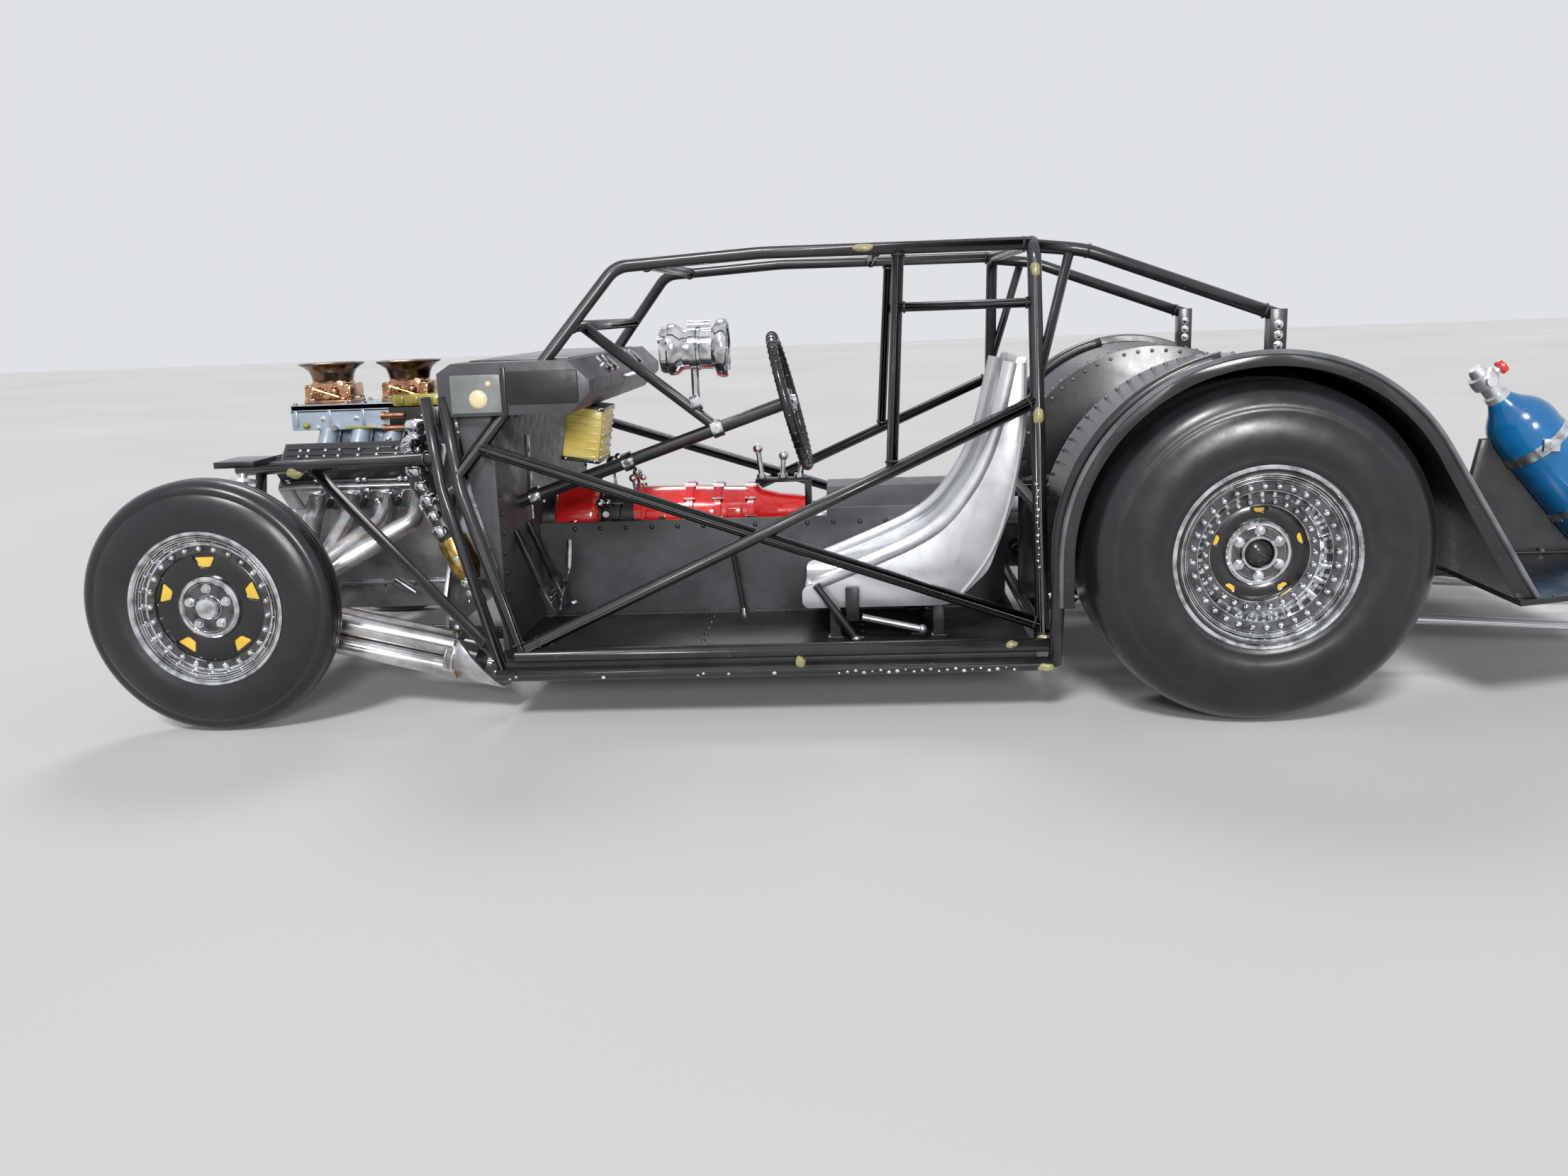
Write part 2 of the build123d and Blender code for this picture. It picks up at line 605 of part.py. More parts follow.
def bank(dy, dz):
    """Point on the left cylinder bank: dy along the deck outward and down, dz up the bore."""
    s = 0.5 ** 0.5
    return (dy * s + dz * s, CRANK_Z - dy * s + dz * s)


def build_engine(front):
    """V8 block with heads and covers, pan, manifold, carburettors and drives."""
    x0, x1 = ENGINE_X - ENGINE_L / 2, ENGINE_X + ENGINE_L / 2
    deck_out, deck_in = bank(HEAD_W / 2, DECK_H), bank(-HEAD_W / 2, DECK_H)
    half = [
        (0, BLOCK_LOW_Z), (5.4, BLOCK_LOW_Z), (6.6, CRANK_Z - 1.5), deck_out, deck_in, (0, VALLEY_Z - 0.4),
    ]
    outline = half + [(-y, z) for y, z in reversed(half[1:-1])]
    block = cross_plate(outline, x0 + 0.6, x1 - 0.6)
    keep("engine_block", block)

    head = cross_plate(
        [
            bank(HEAD_W / 2, DECK_H), bank(HEAD_W / 2, DECK_H + HEAD_T), bank(-HEAD_W / 2, DECK_H + HEAD_T),
            bank(-HEAD_W / 2, DECK_H),
        ],
        x0,
        x1,
    )
    keep("cylinder_heads", both(head))
    z0 = DECK_H + HEAD_T
    cover = cross_plate(
        [
            bank(COVER_W / 2, z0), bank(COVER_W / 2, z0 + COVER_T - COVER_CHAMFER),
            bank(COVER_W / 2 - COVER_CHAMFER, z0 + COVER_T), bank(COVER_CHAMFER - COVER_W / 2, z0 + COVER_T),
            bank(-COVER_W / 2, z0 + COVER_T - COVER_CHAMFER), bank(-COVER_W / 2, z0),
        ],
        x0 + 0.5,
        x1 - 0.5,
    )
    keep("valve_covers", both(cover))

    pan_outline = [(-4.6, PAN_LOW_Z), (4.6, PAN_LOW_Z), (5.2, BLOCK_LOW_Z), (-5.2, BLOCK_LOW_Z)]
    pan = cross_plate(pan_outline, x0 + 1.5, x1 - 1.5)
    keep("oil_pan", pan)

    base = cross_plate(
        [(-3.4, VALLEY_Z), (3.4, VALLEY_Z), (1.6, PLENUM_LOW_Z), (-1.6, PLENUM_LOW_Z)], x0 + 3.5, x1 - 2.0
    )
    intake = bank(-HEAD_W / 2 + 0.4, DECK_H + HEAD_T / 2)
    for number in range(4):
        x = ENGINE_X + (number - 1.5) * PORT_SPACING
        runner = rod((x, intake[0], intake[1]), (x, 2.4, PLENUM_LOW_Z + 0.6), RUNNER_R)
        base = base + runner + mirrored(runner)
    plenum = box((x0 + 1.8, x1 + 0.4), (-PLENUM_HALF_Y, PLENUM_HALF_Y), (PLENUM_LOW_Z, PLENUM_Z))
    manifold = coped(base + plenum, block, head, mirrored(head), cover, mirrored(cover))
    keep("intake_manifold", manifold)

    carbs = []
    for side in (1, -1):
        x = CARB_X + side * CARB_SPACING / 2
        body = box((x - 3.0, x + 3.0), (-2.6, 2.6), (PLENUM_Z, PLENUM_Z + CARB_BODY_H))
        horn_outline = [
            # height, radius up the outside, over the rim and down the mouth
            (0, 0), (0, 2.5), (1.2, 2.7), (CARB_HORN_H - 0.3, CARB_RIM_R), (CARB_HORN_H, CARB_RIM_R),
            (CARB_HORN_H, CARB_RIM_R - 0.9), (1.0, 2.0), (1.0, 0),
        ]
        horn = turned(horn_outline, (x, 0, CARB_TOP_Z - CARB_HORN_H), (0, 0, 1))
        carbs.append((body + horn).solid())
    keep("carburettors", carbs)

    stack = [(0, 0), (0, 1.3), (1.4, 1.3), (1.4, 0.9), (2.0, 0.9), (2.0, 1.3), (4.2, 1.3), (4.2, 0)]
    seat = bank(0.4, z0 + COVER_T)
    breather = turned(stack, (x0 + 2.4, seat[0], seat[1]), (0, 0, 1))
    magneto = rod((x0 + 1.0, 0, VALLEY_Z - 1.0), (x0 + 1.0, 0, PLENUM_LOW_Z - 1.0), 1.5)
    magneto = coped(magneto, block, manifold)
    keep("breathers_and_magneto", both(coped(breather, cover)), magneto)

    crank = rod((x1 - 0.6, 0, CRANK_Z), (x1 + 2.2, 0, CRANK_Z), 3.0)
    pump = rod((x1 + 0.6, 0, CRANK_Z + 6.4), (x1 + 2.2, 0, CRANK_Z + 6.4), 1.9)
    stub = rod((x1 - 0.6, 0, CRANK_Z + 5.0), (x1 + 0.6, 0, CRANK_Z + 5.0), 1.2)
    belt = box((x1 + 0.9, x1 + 2.0), (-1.9, 1.9), (CRANK_Z, CRANK_Z + 6.4))
    belt_drive = (crank + pump + belt + stub).solid()
    keep("belt_drive", belt_drive)
    plates = []
    for x, drop in ((x1 - 0.6, 0.0), (x0 + 0.1, 0.3)):
        rail = along(LOWER_RAIL_REAR, LOWER_RAIL_FRONT, x)
        foot, ear = (PLATE_HALF_Y, rail[2]), (PLATE_HALF_Y, rail[2] + 4.0)
        half = [foot, ear, (7.6, CRANK_Z + drop), (4.0, CRANK_Z + 4.4)]
        plate = cross_plate(half + [(-y, z) for y, z in reversed(half)], x, x + PLATE_T)
        plates.append(coped(plate, *front["lowers"], head, mirrored(head), belt_drive, magneto))
    keep("motor_plates", plates)
    return {"x0": x0, "x1": x1, "head": head, "block": block}


def build_headers(engine):
    """Four primaries a side that sweep forward, down and back into a hollow slash-cut collector."""
    port = bank(HEAD_W / 2, DECK_H + HEAD_T / 2)
    out = (0.5 ** 0.5, -(0.5 ** 0.5))
    step = PRIMARY_R + PRIMARY_GAP
    end, tip_x = COLLECTOR_END, COLLECTOR_FRONT_X - 0.6
    collector = rod(along(BUNDLE_FRONT, end, COLLECTOR_FRONT_X), end, COLLECTOR_R)
    collector = collector - rod(along(BUNDLE_FRONT, end, COLLECTOR_FRONT_X - 1.2), end, COLLECTOR_BORE_R)
    slash = side_plate(
        [
            (end[0], end[2] - COLLECTOR_R), (end[0] + 6.2, end[2] + COLLECTOR_R + 1.6),
            (end[0] + 6.2, end[2] + 9.0), (end[0] - 6.0, end[2] + 9.0), (end[0] - 6.0, end[2] - COLLECTOR_R),
        ],
        end[1] - 5.0,
        end[1] + 5.0,
    )
    collector = coped(collector, slash)
    ports = [
        # port's and turn's distance ahead of the engine's middle, bundle row in y, bundle row in z
        (5.7, 4.4, 1, 1),
        (1.5, 3.1, -1, 1),
        (-2.7, 4.7, 1, -1),
        (-6.7, 3.7, -1, -1),
    ]
    primaries = []
    for port_dx, turn_dx, row_y, row_z in ports:
        x, turn_x = ENGINE_X + port_dx, ENGINE_X + turn_dx
        knee, tip = along(BUNDLE_FRONT, end, turn_x - 1.2), along(BUNDLE_FRONT, end, tip_x)
        y_out, z_out = port[0] + out[0] * 3.6, port[1] + out[1] * 3.6
        y_low, z_low = knee[1] + row_y * step, knee[2] + row_z * step
        points = [
            (x, port[0], port[1]),
            (x, y_out, z_out),
            (turn_x, (y_out + y_low) / 2 + 1.2, (z_out + z_low) / 2),
            (turn_x - 1.2, y_low, z_low),
            (tip_x, tip[1] + row_y * step, tip[2] + row_z * step),
        ]
        primaries.append(coped(bent_rod(points, PRIMARY_R, [1.4, 1.4, 1.4]), collector, engine["head"]))
    keep("header_collectors", both(collector))
    keep("header_primaries", both(*primaries))


def build_driveline(cage, rear):
    """Bellhousing, staged gearbox, shaft and the live rear axle with its links and dampers."""
    x0 = ENGINE_X - ENGINE_L / 2
    bell_outline = [(0, 0), (0, BELL_R), (1.0, BELL_R), (BELL_L, BELL_R - 1.7), (BELL_L, 0)]
    bell = turned(bell_outline, (x0, 0, CRANK_Z), (-1, 0, 0))
    bell = coped(bell, pieces["engine_block"][0], *pieces["cylinder_heads"], *pieces["breathers_and_magneto"],
                 *pieces["motor_plates"])
    keep("bellhousing", bell)
    back = x0 - BELL_L
    stages = [
        # length, radius
        (4.4, 3.4), (5.6, 4.2), (4.8, 3.4), (10.6, 4.2), (1.2, 3.8),
    ]
    stages.append((back - GEARBOX_REAR_X - sum(length for length, radius in stages), 4.0))
    outline, run = [(0, 0)], 0.0
    for length, radius in stages:
        outline += [(run, radius), (run + length, radius)]
        run += length
    outline.append((run, 0))
    gearbox = turned(outline, (back, 0, GEARBOX_Z), (-1, 0, 0))
    keep("gearbox", coped(gearbox, bell))
    shaft = rod((GEARBOX_REAR_X, 0, DRIVE_Z), (8.6, 0, DRIVE_Z), DRIVESHAFT_R)
    keep("driveshaft", shaft)

    centre = turned(
        [(-4.4, 0), (-4.4, 3.4), (-3.0, 4.9), (2.6, 4.9), (4.0, 3.6), (6.4, 2.2), (8.6, 2.2), (8.6, 0)],
        (0, 0, DRIVE_Z),
        (1, 0, 0),
    )
    flange_y = REAR_RAIL_Y + 0.9
    half = [
        # y, radius from the middle of the housing out to the spindle's end
        (0, 0), (0, 2.6), (6.0, AXLE_TUBE_R), (flange_y, AXLE_TUBE_R), (flange_y, 2.3), (flange_y + 1.2, 2.3),
        (flange_y + 1.2, REAR_SPINDLE_R), (REAR_OUTER_Y - 3.5, REAR_SPINDLE_R), (REAR_OUTER_Y - 3.5, 0),
    ]
    tube = turned(half, (0, 0, DRIVE_Z), (0, 1, 0))
    plate = side_plate(
        [
            (-4.6, DRIVE_Z - 11.5), (0.8, DRIVE_Z - 11.5), (3.4, DRIVE_Z - 7.0), (3.4, DRIVE_Z + 5.1),
            (-2.2, DRIVE_Z + 5.1), (-4.6, DRIVE_Z - 1.5),
        ],
        LINK_PLATE_Y,
        LINK_PLATE_Y + LINK_PLATE_T,
    )
    axle = centre + tube + mirrored(tube) + plate + mirrored(plate)
    keep("rear_axle", axle.solid())

    chassis_plate = side_plate(
        [
            (HOOP_X - 3.6, HOOP_CROSS_LOW_Z - 0.6), (HOOP_X + 0.4, HOOP_CROSS_LOW_Z - 0.6),
            (HOOP_X + 0.4, HOOP_CROSS_MID_Z + 0.6), (HOOP_X - 3.6, HOOP_CROSS_MID_Z + 0.6),
        ],
        LINK_PLATE_Y,
        LINK_PLATE_Y + LINK_PLATE_T,
    )
    add("frame_brackets", both(coped(chassis_plate, *cage["hoop_cross"])))

    links = []
    for front_z, rear_z in ((HOOP_CROSS_MID_Z - 2.0, DRIVE_Z + 3.3), (HOOP_CROSS_LOW_Z + 1.8, DRIVE_Z - 5.1)):
        front = (HOOP_X - 2.2, LINK_PLATE_Y - LINK_EYE_HALF, front_z)
        rear_eye = (1.6, LINK_PLATE_Y - LINK_EYE_HALF, rear_z)
        bar = rod(front, rear_eye, LINK_R)
        for x, y, z in (front, rear_eye):
            bar = bar + rod((x, y - LINK_EYE_HALF, z), (x, y + LINK_EYE_HALF, z), LINK_EYE_R)
        links.append(bar.solid())
    keep("four_link_bars", both(*links))

    foot = (-3.2, LINK_PLATE_Y - 1.9, DRIVE_Z - 4.5)
    top = (-5.2, LINK_PLATE_Y - 1.9, REAR_RAIL_TOP_Z - 0.3)
    run = Vector(*top) - Vector(*foot)
    damper = turned(
        [(0, 0), (0, 0.9), (1.2, 0.9), (1.2, SPRING_R), (run.length - 3.0, SPRING_R), (run.length - 3.0, 0.6),
         (run.length, 0.6), (run.length, 0)],
        foot,
        run,
    )
    pin = rod((foot[0], foot[1], foot[2]), (foot[0], LINK_PLATE_Y, foot[2]), 0.6)
    keep("rear_coil_overs", both(coped(damper + pin, rear["top_cross"])))


def build_front_suspension(front):
    """Struts with knuckles and spindles, lower arms, strut mounts, and the rack with tie rods."""
    axis = Vector(*STRUT_TOP) - Vector(*STRUT_FOOT)
    strut_outline = [
        # distance up the strut, radius: tube, spring, rod
        (0, 0), (0, STRUT_R), (7.6, STRUT_R), (7.6, SPRING_R), (axis.length - 1.0, SPRING_R),
        (axis.length - 1.0, STRUT_ROD_R), (axis.length + 1.4, STRUT_ROD_R), (axis.length + 1.4, 0),
    ]
    strut = turned(strut_outline, STRUT_FOOT, axis)
    knuckle_in, knuckle_out = FRONT_DISC_Y - 3.1, FRONT_DISC_Y - 0.3
    knuckle_x, knuckle_z = (WHEELBASE - 1.5, WHEELBASE + 1.5), (FRONT_TYRE_R - 3.5, FRONT_TYRE_R + 2.0)
    knuckle = box(knuckle_x, (knuckle_in, knuckle_out), knuckle_z)
    spindle_end = (WHEELBASE, FRONT_OUTER_Y - 1.5, FRONT_TYRE_R)
    spindle = rod((WHEELBASE, knuckle_out - 0.4, FRONT_TYRE_R), spindle_end, FRONT_SPINDLE_R)
    arm = rod((WHEELBASE, knuckle_in + 0.6, RACK_Z), (RACK_X, TIE_END_Y, RACK_Z), ARM_R)
    strut = (strut + knuckle + spindle + arm).solid()
    top = front["tops"][0]
    strut = coped(strut, top)
    struts = both(strut)
    keep("front_struts", struts)

    mount = box(
        (WHEELBASE - 2.4, WHEELBASE + 2.2),
        (TOP_RAIL_FRONT[1] - 0.4, STRUT_TOP[1] + 2.2),
        (MOUNT_Z, MOUNT_Z + MOUNT_T),
    )
    mount = coped(mount, top, strut)
    add("frame_brackets", both(mount))

    ball_y, ball_z = FRONT_DISC_Y - 2.1, FRONT_TYRE_R - 4.0
    arms = rod((WHEELBASE, ball_y, ball_z - 0.7), (WHEELBASE, ball_y, ball_z + 0.5), 0.9)
    for dx in ARM_SPREAD:
        pickup = along(LOWER_RAIL_REAR, LOWER_RAIL_FRONT, WHEELBASE + dx)
        arms = arms + rod((WHEELBASE, ball_y, ball_z), pickup, ARM_R)
    arms = coped(arms, front["lowers"][0], strut)
    keep("control_arms", both(arms))

    rack = rod((RACK_X, -RACK_HALF, RACK_Z), (RACK_X, RACK_HALF, RACK_Z), 1.1)
    ties = rod((RACK_X, -TIE_END_Y, RACK_Z), (RACK_X, TIE_END_Y, RACK_Z), TIE_R)
    legs = [rod((RACK_X, y, RACK_Z), (FRONT_CROSS_X, y, LOWER_RAIL_FRONT[2]), 0.6) for y in (-6.0, 6.0)]
    rack = coped(rack + ties + legs[0] + legs[1], front["low_cross"], *struts)
    keep("steering_rack", rack)


def build_cockpit(cage):
    """Bucket seat, steering wheel and column, tachometer, ignition box, levers and pedals."""
    y0, y1 = SEAT_Y - SEAT_W / 2, SEAT_Y + SEAT_W / 2
    outer = [
        # distance ahead of the hoop, z, corner radius: up the wings' front edge, then down the back
        (25.6, 10.6, 0.8), (25.6, 12.9, 0.8), (19.0, 14.7, 8.0), (10.2, 18.4, 9.0), (5.8, 24.0, 9.0),
        (3.9, 28.5, 9.0), (2.0, 37.4, 0.4), (0.9, 37.4, 0.4), (0.9, 30.0, 8.0), (2.4, 21.6, 9.0),
        (5.0, 14.4, 4.0), (9.0, 10.6, 4.0),
    ]
    inner = [
        (1.55, 38.4, 0), (1.6, 30.0, 8.0), (3.2, 21.9, 9.0), (5.8, 15.0, 4.0), (9.4, 11.4, 4.0), (26.6, 11.4, 0),
        (26.6, 38.4, 0),
    ]
    shell = rounded_plate([(HOOP_X + dx, z, r) for dx, z, r in outer], y0, y1)
    hollow = rounded_plate([(HOOP_X + dx, z, r) for dx, z, r in inner], y0 + SEAT_WALL, y1 - SEAT_WALL)
    sides = hollow.faces().filter_by(Axis.Y)
    back = [e for face in sides for e in face.edges() if e.center().X < HOOP_X + 26 and e.center().Z < 36]
    hollow = fillet(back, SEAT_CORNER_R)
    seat = shell - hollow
    for x in (HOOP_X + 10.5, HOOP_X + 22.0):
        for y in (y0 + 1.4, y1 - 1.4):
            seat = seat + box((x - 0.5, x + 0.5), (y - 0.5, y + 0.5), (FLOOR_TOP_Z, 10.9))
    keep("seat", coped(seat, cage["hoop"], *cage["hoop_cross"]))

    normal = Vector(-1, 0, WHEEL_TILT).normalized()
    plane = Plane(origin=WHEEL_HUB, x_dir=(0, 1, 0), z_dir=normal)
    ring = plane.location * Torus(STEERING_R, STEERING_TUBE_R)
    hub = plane.location * Pos(0, 0, -0.2) * Cylinder(1.5, 1.2)
    spokes = [
        plane.location * Rot(0, 0, turn) * Pos(STEERING_R / 2, 0, -0.1) * Box(STEERING_R, 1.3, 0.5)
        for turn in (0, 180, 270)
    ]
    wheel = (ring + hub + spokes[0] + spokes[1] + spokes[2]).solid()
    keep("steering_wheel", wheel)
    reach = FIREWALL_X - WHEEL_HUB[0]
    column_end = (FIREWALL_X, SEAT_Y, WHEEL_HUB[2] - reach * COLUMN_DROP)
    column = rod(WHEEL_HUB, column_end, COLUMN_R)
    column = coped(column, wheel, pieces["firewall"][0])

    brace_top = (cage["dash_x"], SEAT_Y, DASH_BAR_Z)
    brace_end = along(WHEEL_HUB, column_end, COLUMN_BRACE_X)
    brace = coped(rod(brace_top, brace_end, BRACE_R), cage["dash_bar"])
    keep("steering_column", (column + brace).solid())

    body = turned(
        [
            # distance ahead of the dial, radius
            (0, 0), (0, TACH_R + 0.9), (0.9, TACH_R + 1.0), (1.5, TACH_R), (5.6, TACH_R), (6.6, TACH_R + 0.6),
            (7.6, TACH_R + 0.3), (7.6, 0),
        ],
        (TACH_X - 3.9, SEAT_Y, TACH_Z),
        (1, 0, 0),
    )
    on_brace = along(brace_top, brace_end, TACH_X)
    stalk = rod((TACH_X, SEAT_Y, TACH_Z), on_brace, 0.6)
    keep("tachometer", coped(body + stalk, brace))

    case = Pos(*BOX_SPOT) * Rot(0, -9, 0) * Box(4.4, 7.0, 6.4)
    keep("ignition_box", coped(case, pieces["dashboard"][0]))

    base_z = GEARBOX_Z + 4.3
    levers = box((LEVER_X - 4.0, LEVER_X + 3.0), (-1.0, 1.0), (GEARBOX_Z, base_z))
    for dx, lean, height in ((2.6, -0.4, 3.8), (-0.6, 0.2, 2.8), (-3.0, 0.6, 1.8)):
        # distance along the base, lean of the foot, height of the knob
        x, knob_z = LEVER_X + dx, base_z + height
        lever = rod((x + lean, 0, base_z - 1.0), (x, 0, knob_z), 0.3)
        levers = levers + lever + Pos(x, 0, knob_z) * Sphere(0.55)
    levers = coped(levers, pieces["gearbox"][0], pieces["driveshaft"][0], *pieces["tunnel"])

    pedals = []
    for y in (12.0, 18.0):
        arm = rod((FIREWALL_X, y, 19.5), (PEDAL_X, y, 11.5), 0.45)
        pad = Pos(PEDAL_X - 0.2, y, 11.2) * Rot(0, 20, 0) * Box(0.7, 2.6, 3.6)
        pedals.append(coped(arm + pad, pieces["firewall"][0]))
    keep("pedals_and_levers", pedals, levers)


def build_rear_gear(cage):
    """Gas bottle in its cradle and the wheelie bars."""
    tilt = radians(BOTTLE_TILT)
    down = Vector(-cos(tilt), 0, -sin(tilt))
    bottle = turned(
        [(-4.6, 0), (-4.6, 0.9), (-3.6, 1.5), (-0.6, 1.2), (0, 1.3), (2.4, 3.3), (4.0, BOTTLE_R),
         (BOTTLE_L - 0.8, BOTTLE_R), (BOTTLE_L, BOTTLE_R - 0.8), (BOTTLE_L, 0)],
        BOTTLE_TOP,
        down,
    )
    bottle = coped(bottle, *pieces["trunk_floor"])
    keep("gas_bottle", bottle)
    top_x, top_z = BOTTLE_TOP[0], BOTTLE_TOP[2]
    cradle = side_plate(
        [
            (top_x + 4.4, TRUNK_Z + SHEET), (top_x - 11.6, TRUNK_Z + SHEET), (top_x - 6.6, top_z - 11.4),
            (top_x - 0.6, top_z - 4.4), (top_x + 1.8, top_z - 4.4),
        ],
        BOTTLE_TOP[1] - 0.4,
        BOTTLE_TOP[1] + 0.4,
    )
    keep("bottle_cradle", coped(cradle, bottle))

    axle_z = WHEELIE_R + WHEELIE_LIFT
    low = rod((-1.5, WHEELIE_BAR_Y, DRIVE_Z - 10.6), (WHEELIE_X + 1.6, WHEELIE_BAR_Y, axle_z), WHEELIE_BAR_R)
    high_end = (WHEELIE_X + 0.6, WHEELIE_BAR_Y, axle_z + 2.2)
    high = rod((-1.5, WHEELIE_BAR_Y, DRIVE_Z - 3.0), high_end, WHEELIE_BAR_R)
    plate = side_plate(
        [(WHEELIE_X - 1.4, axle_z - 1.0), (WHEELIE_X + 2.6, axle_z - 1.0), (WHEELIE_X + 2.6, axle_z + 3.4),
         (WHEELIE_X - 1.4, axle_z + 3.4)],
        WHEELIE_BAR_Y - 0.5,
        WHEELIE_BAR_Y + 0.5,
    )
    bore = across(WHEELIE_X, axle_z, WHEELIE_BAR_Y + 2, WHEELIE_AXLE_R + WHEEL_CLEARANCE)
    plate = coped(plate, bore)
    plates = both(plate)
    low, high = coped(low, plate), coped(high, plate)
    tie = coped(across(WHEELIE_X + 1.6, axle_z + 2.4, WHEELIE_BAR_Y, 0.5), *plates)
    keep("wheelie_bars", both(low, high), tie)
    add("frame_brackets", plates)
    wheel_in, wheel_out = WHEELIE_BAR_Y + 0.7, WHEELIE_BAR_Y + 2.3
    half = [(0, 0), (0, WHEELIE_AXLE_R), (wheel_in, WHEELIE_AXLE_R), (wheel_in, WHEELIE_R), (wheel_out, WHEELIE_R),
            (wheel_out, 0)]
    wheel = turned(half, (WHEELIE_X, 0, axle_z), (0, 1, 0))
    keep("wheelie_wheels", (wheel + mirrored(wheel)).solid())


Wheel = namedtuple("Wheel", "x tyre_r tyre_w outer_y rim_r bead_r spindle_r disc_r disc_in window dish")


def tyre_solid(w):
    """Tyre with a bulged sidewall and a sloped shoulder, about the wheel's own axle."""
    half, wall = w.tyre_w / 2, w.tyre_r - w.bead_r
    side = [(half - 0.55, w.bead_r), (half, w.tyre_r - wall * 0.3), (half - wall * 0.16, w.tyre_r)]
    outline = side + [(-h, r) for h, r in reversed(side)]
    return turned(outline, (w.x, w.outer_y - half, w.tyre_r), (0, 1, 0))


def rim_solid(w):
    """Rim with a deep lip, a dished centre, a hub over the spindle and a brake disc."""
    half = w.tyre_w / 2
    lip, bead = half - 0.25, half - 0.55
    dish = half - w.dish
    hub_in = w.disc_in
    bore = w.spindle_r + WHEEL_CLEARANCE
    outline = [
        (dish + 1.0, 0), (dish + 1.0, 2.2), (dish, 2.6), (dish, w.bead_r - 1.3), (lip, w.rim_r - 0.5),
        (lip, w.rim_r),
        (bead, w.rim_r), (bead, w.bead_r), (-bead, w.bead_r), (-bead, w.rim_r), (-lip, w.rim_r), (-lip, w.rim_r - 0.4),
        (-bead + 0.6, w.bead_r - 0.7), (dish - 0.9, w.bead_r - 1.5), (dish - 0.9, 2.6), (hub_in + DISC_T, 2.4),
        (hub_in + DISC_T, w.disc_r), (hub_in, w.disc_r), (hub_in, bore), (dish + 0.5, bore), (dish + 0.5, 0),
    ]
    rim = turned(outline, (0, 0, 0), (0, 0, 1))
    low, high = w.window
    window = Pos((low + high) / 2, 0, dish) * Box(high - low, (high - low) * 1.5, WINDOW_DEPTH * 2)
    window = fillet(window.edges().filter_by(Axis.Z), 0.3)
    for number in range(5):
        rim = rim - Rot(0, 0, number * 72 - 90) * window
    return Plane(origin=(w.x, w.outer_y - half, w.tyre_r), z_dir=(0, 1, 0)).location * rim.solid()


def build_wheels():
    """Four wheels, each a tyre on a rim."""
    front = Wheel(
        WHEELBASE, FRONT_TYRE_R, FRONT_TYRE_W, FRONT_OUTER_Y, FRONT_RIM_R, FRONT_BEAD_R, FRONT_SPINDLE_R,
        FRONT_DISC_R, FRONT_DISC_Y - (FRONT_OUTER_Y + FRONT_INNER_Y) / 2,
        FRONT_WINDOW, FRONT_DISH,
    )
    rear = Wheel(
        0.0, REAR_TYRE_R, REAR_TYRE_W, REAR_OUTER_Y, REAR_RIM_R, REAR_BEAD_R, REAR_SPINDLE_R,
        REAR_DISC_R, REAR_DISC_Y - (REAR_OUTER_Y + REAR_INNER_Y) / 2,
        REAR_WINDOW, REAR_DISH,
    )
    for name, w in (("front", front), ("rear", rear)):
        tyre, rim = tyre_solid(w), rim_solid(w)
        keep(f"{name}_left_tyre", tyre)
        keep(f"{name}_left_rim", rim)
        keep(f"{name}_right_tyre", mirrored(tyre))
        keep(f"{name}_right_rim", mirrored(rim))


def build_catch_can(cage):
    """Slim catch can beside the bellhousing, on a bracket from the cowl post."""
    top, foot = (FIREWALL_X + 10.0, 20.0, 26.6), (FIREWALL_X + 4.4, 21.4, 14.4)
    can = rod(top, foot, CAN_R) + rod(foot, (foot[0] - 0.8, foot[1] + 0.2, foot[2] - 2.8), 0.4)
    can = can + rod(along(top, foot, FIREWALL_X + 7.4), at_height(COWL_KNEE, COWL_TOP, 26.0), 0.45)
    keep("catch_can", coped(can, *cage["posts"]))


def main():
    """Build every piece and write one file for each node."""
    os.makedirs("parts", exist_ok=True)
    cage = build_cage()
    front = build_front_frame(cage)
    rear = build_rear_frame(cage)
    cage["rear_brace"] = rear["brace"]
    build_tubs(cage)
    build_panels(cage, front, rear)
    engine = build_engine(front)
    build_headers(engine)
    build_driveline(cage, rear)
    build_front_suspension(front)
    build_cockpit(cage)
    build_rear_gear(cage)
    build_catch_can(cage)
    build_wheels()
    for name, solids in pieces.items():
        moved = [Pos(-MID_X, 0, 0) * solid for solid in solids]
        shape = moved[0] if len(moved) == 1 else Compound(children=moved)
        export_step(shape, f"parts/{name}.step")


main()
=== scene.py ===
"""Drag racing car, a 1:25 scale model shown as a rolling chassis: finishes, fine pieces, light and camera."""
import json
from math import cos, pi, radians, sin, tau

import bmesh
import bpy
from mathutils import Matrix, Vector


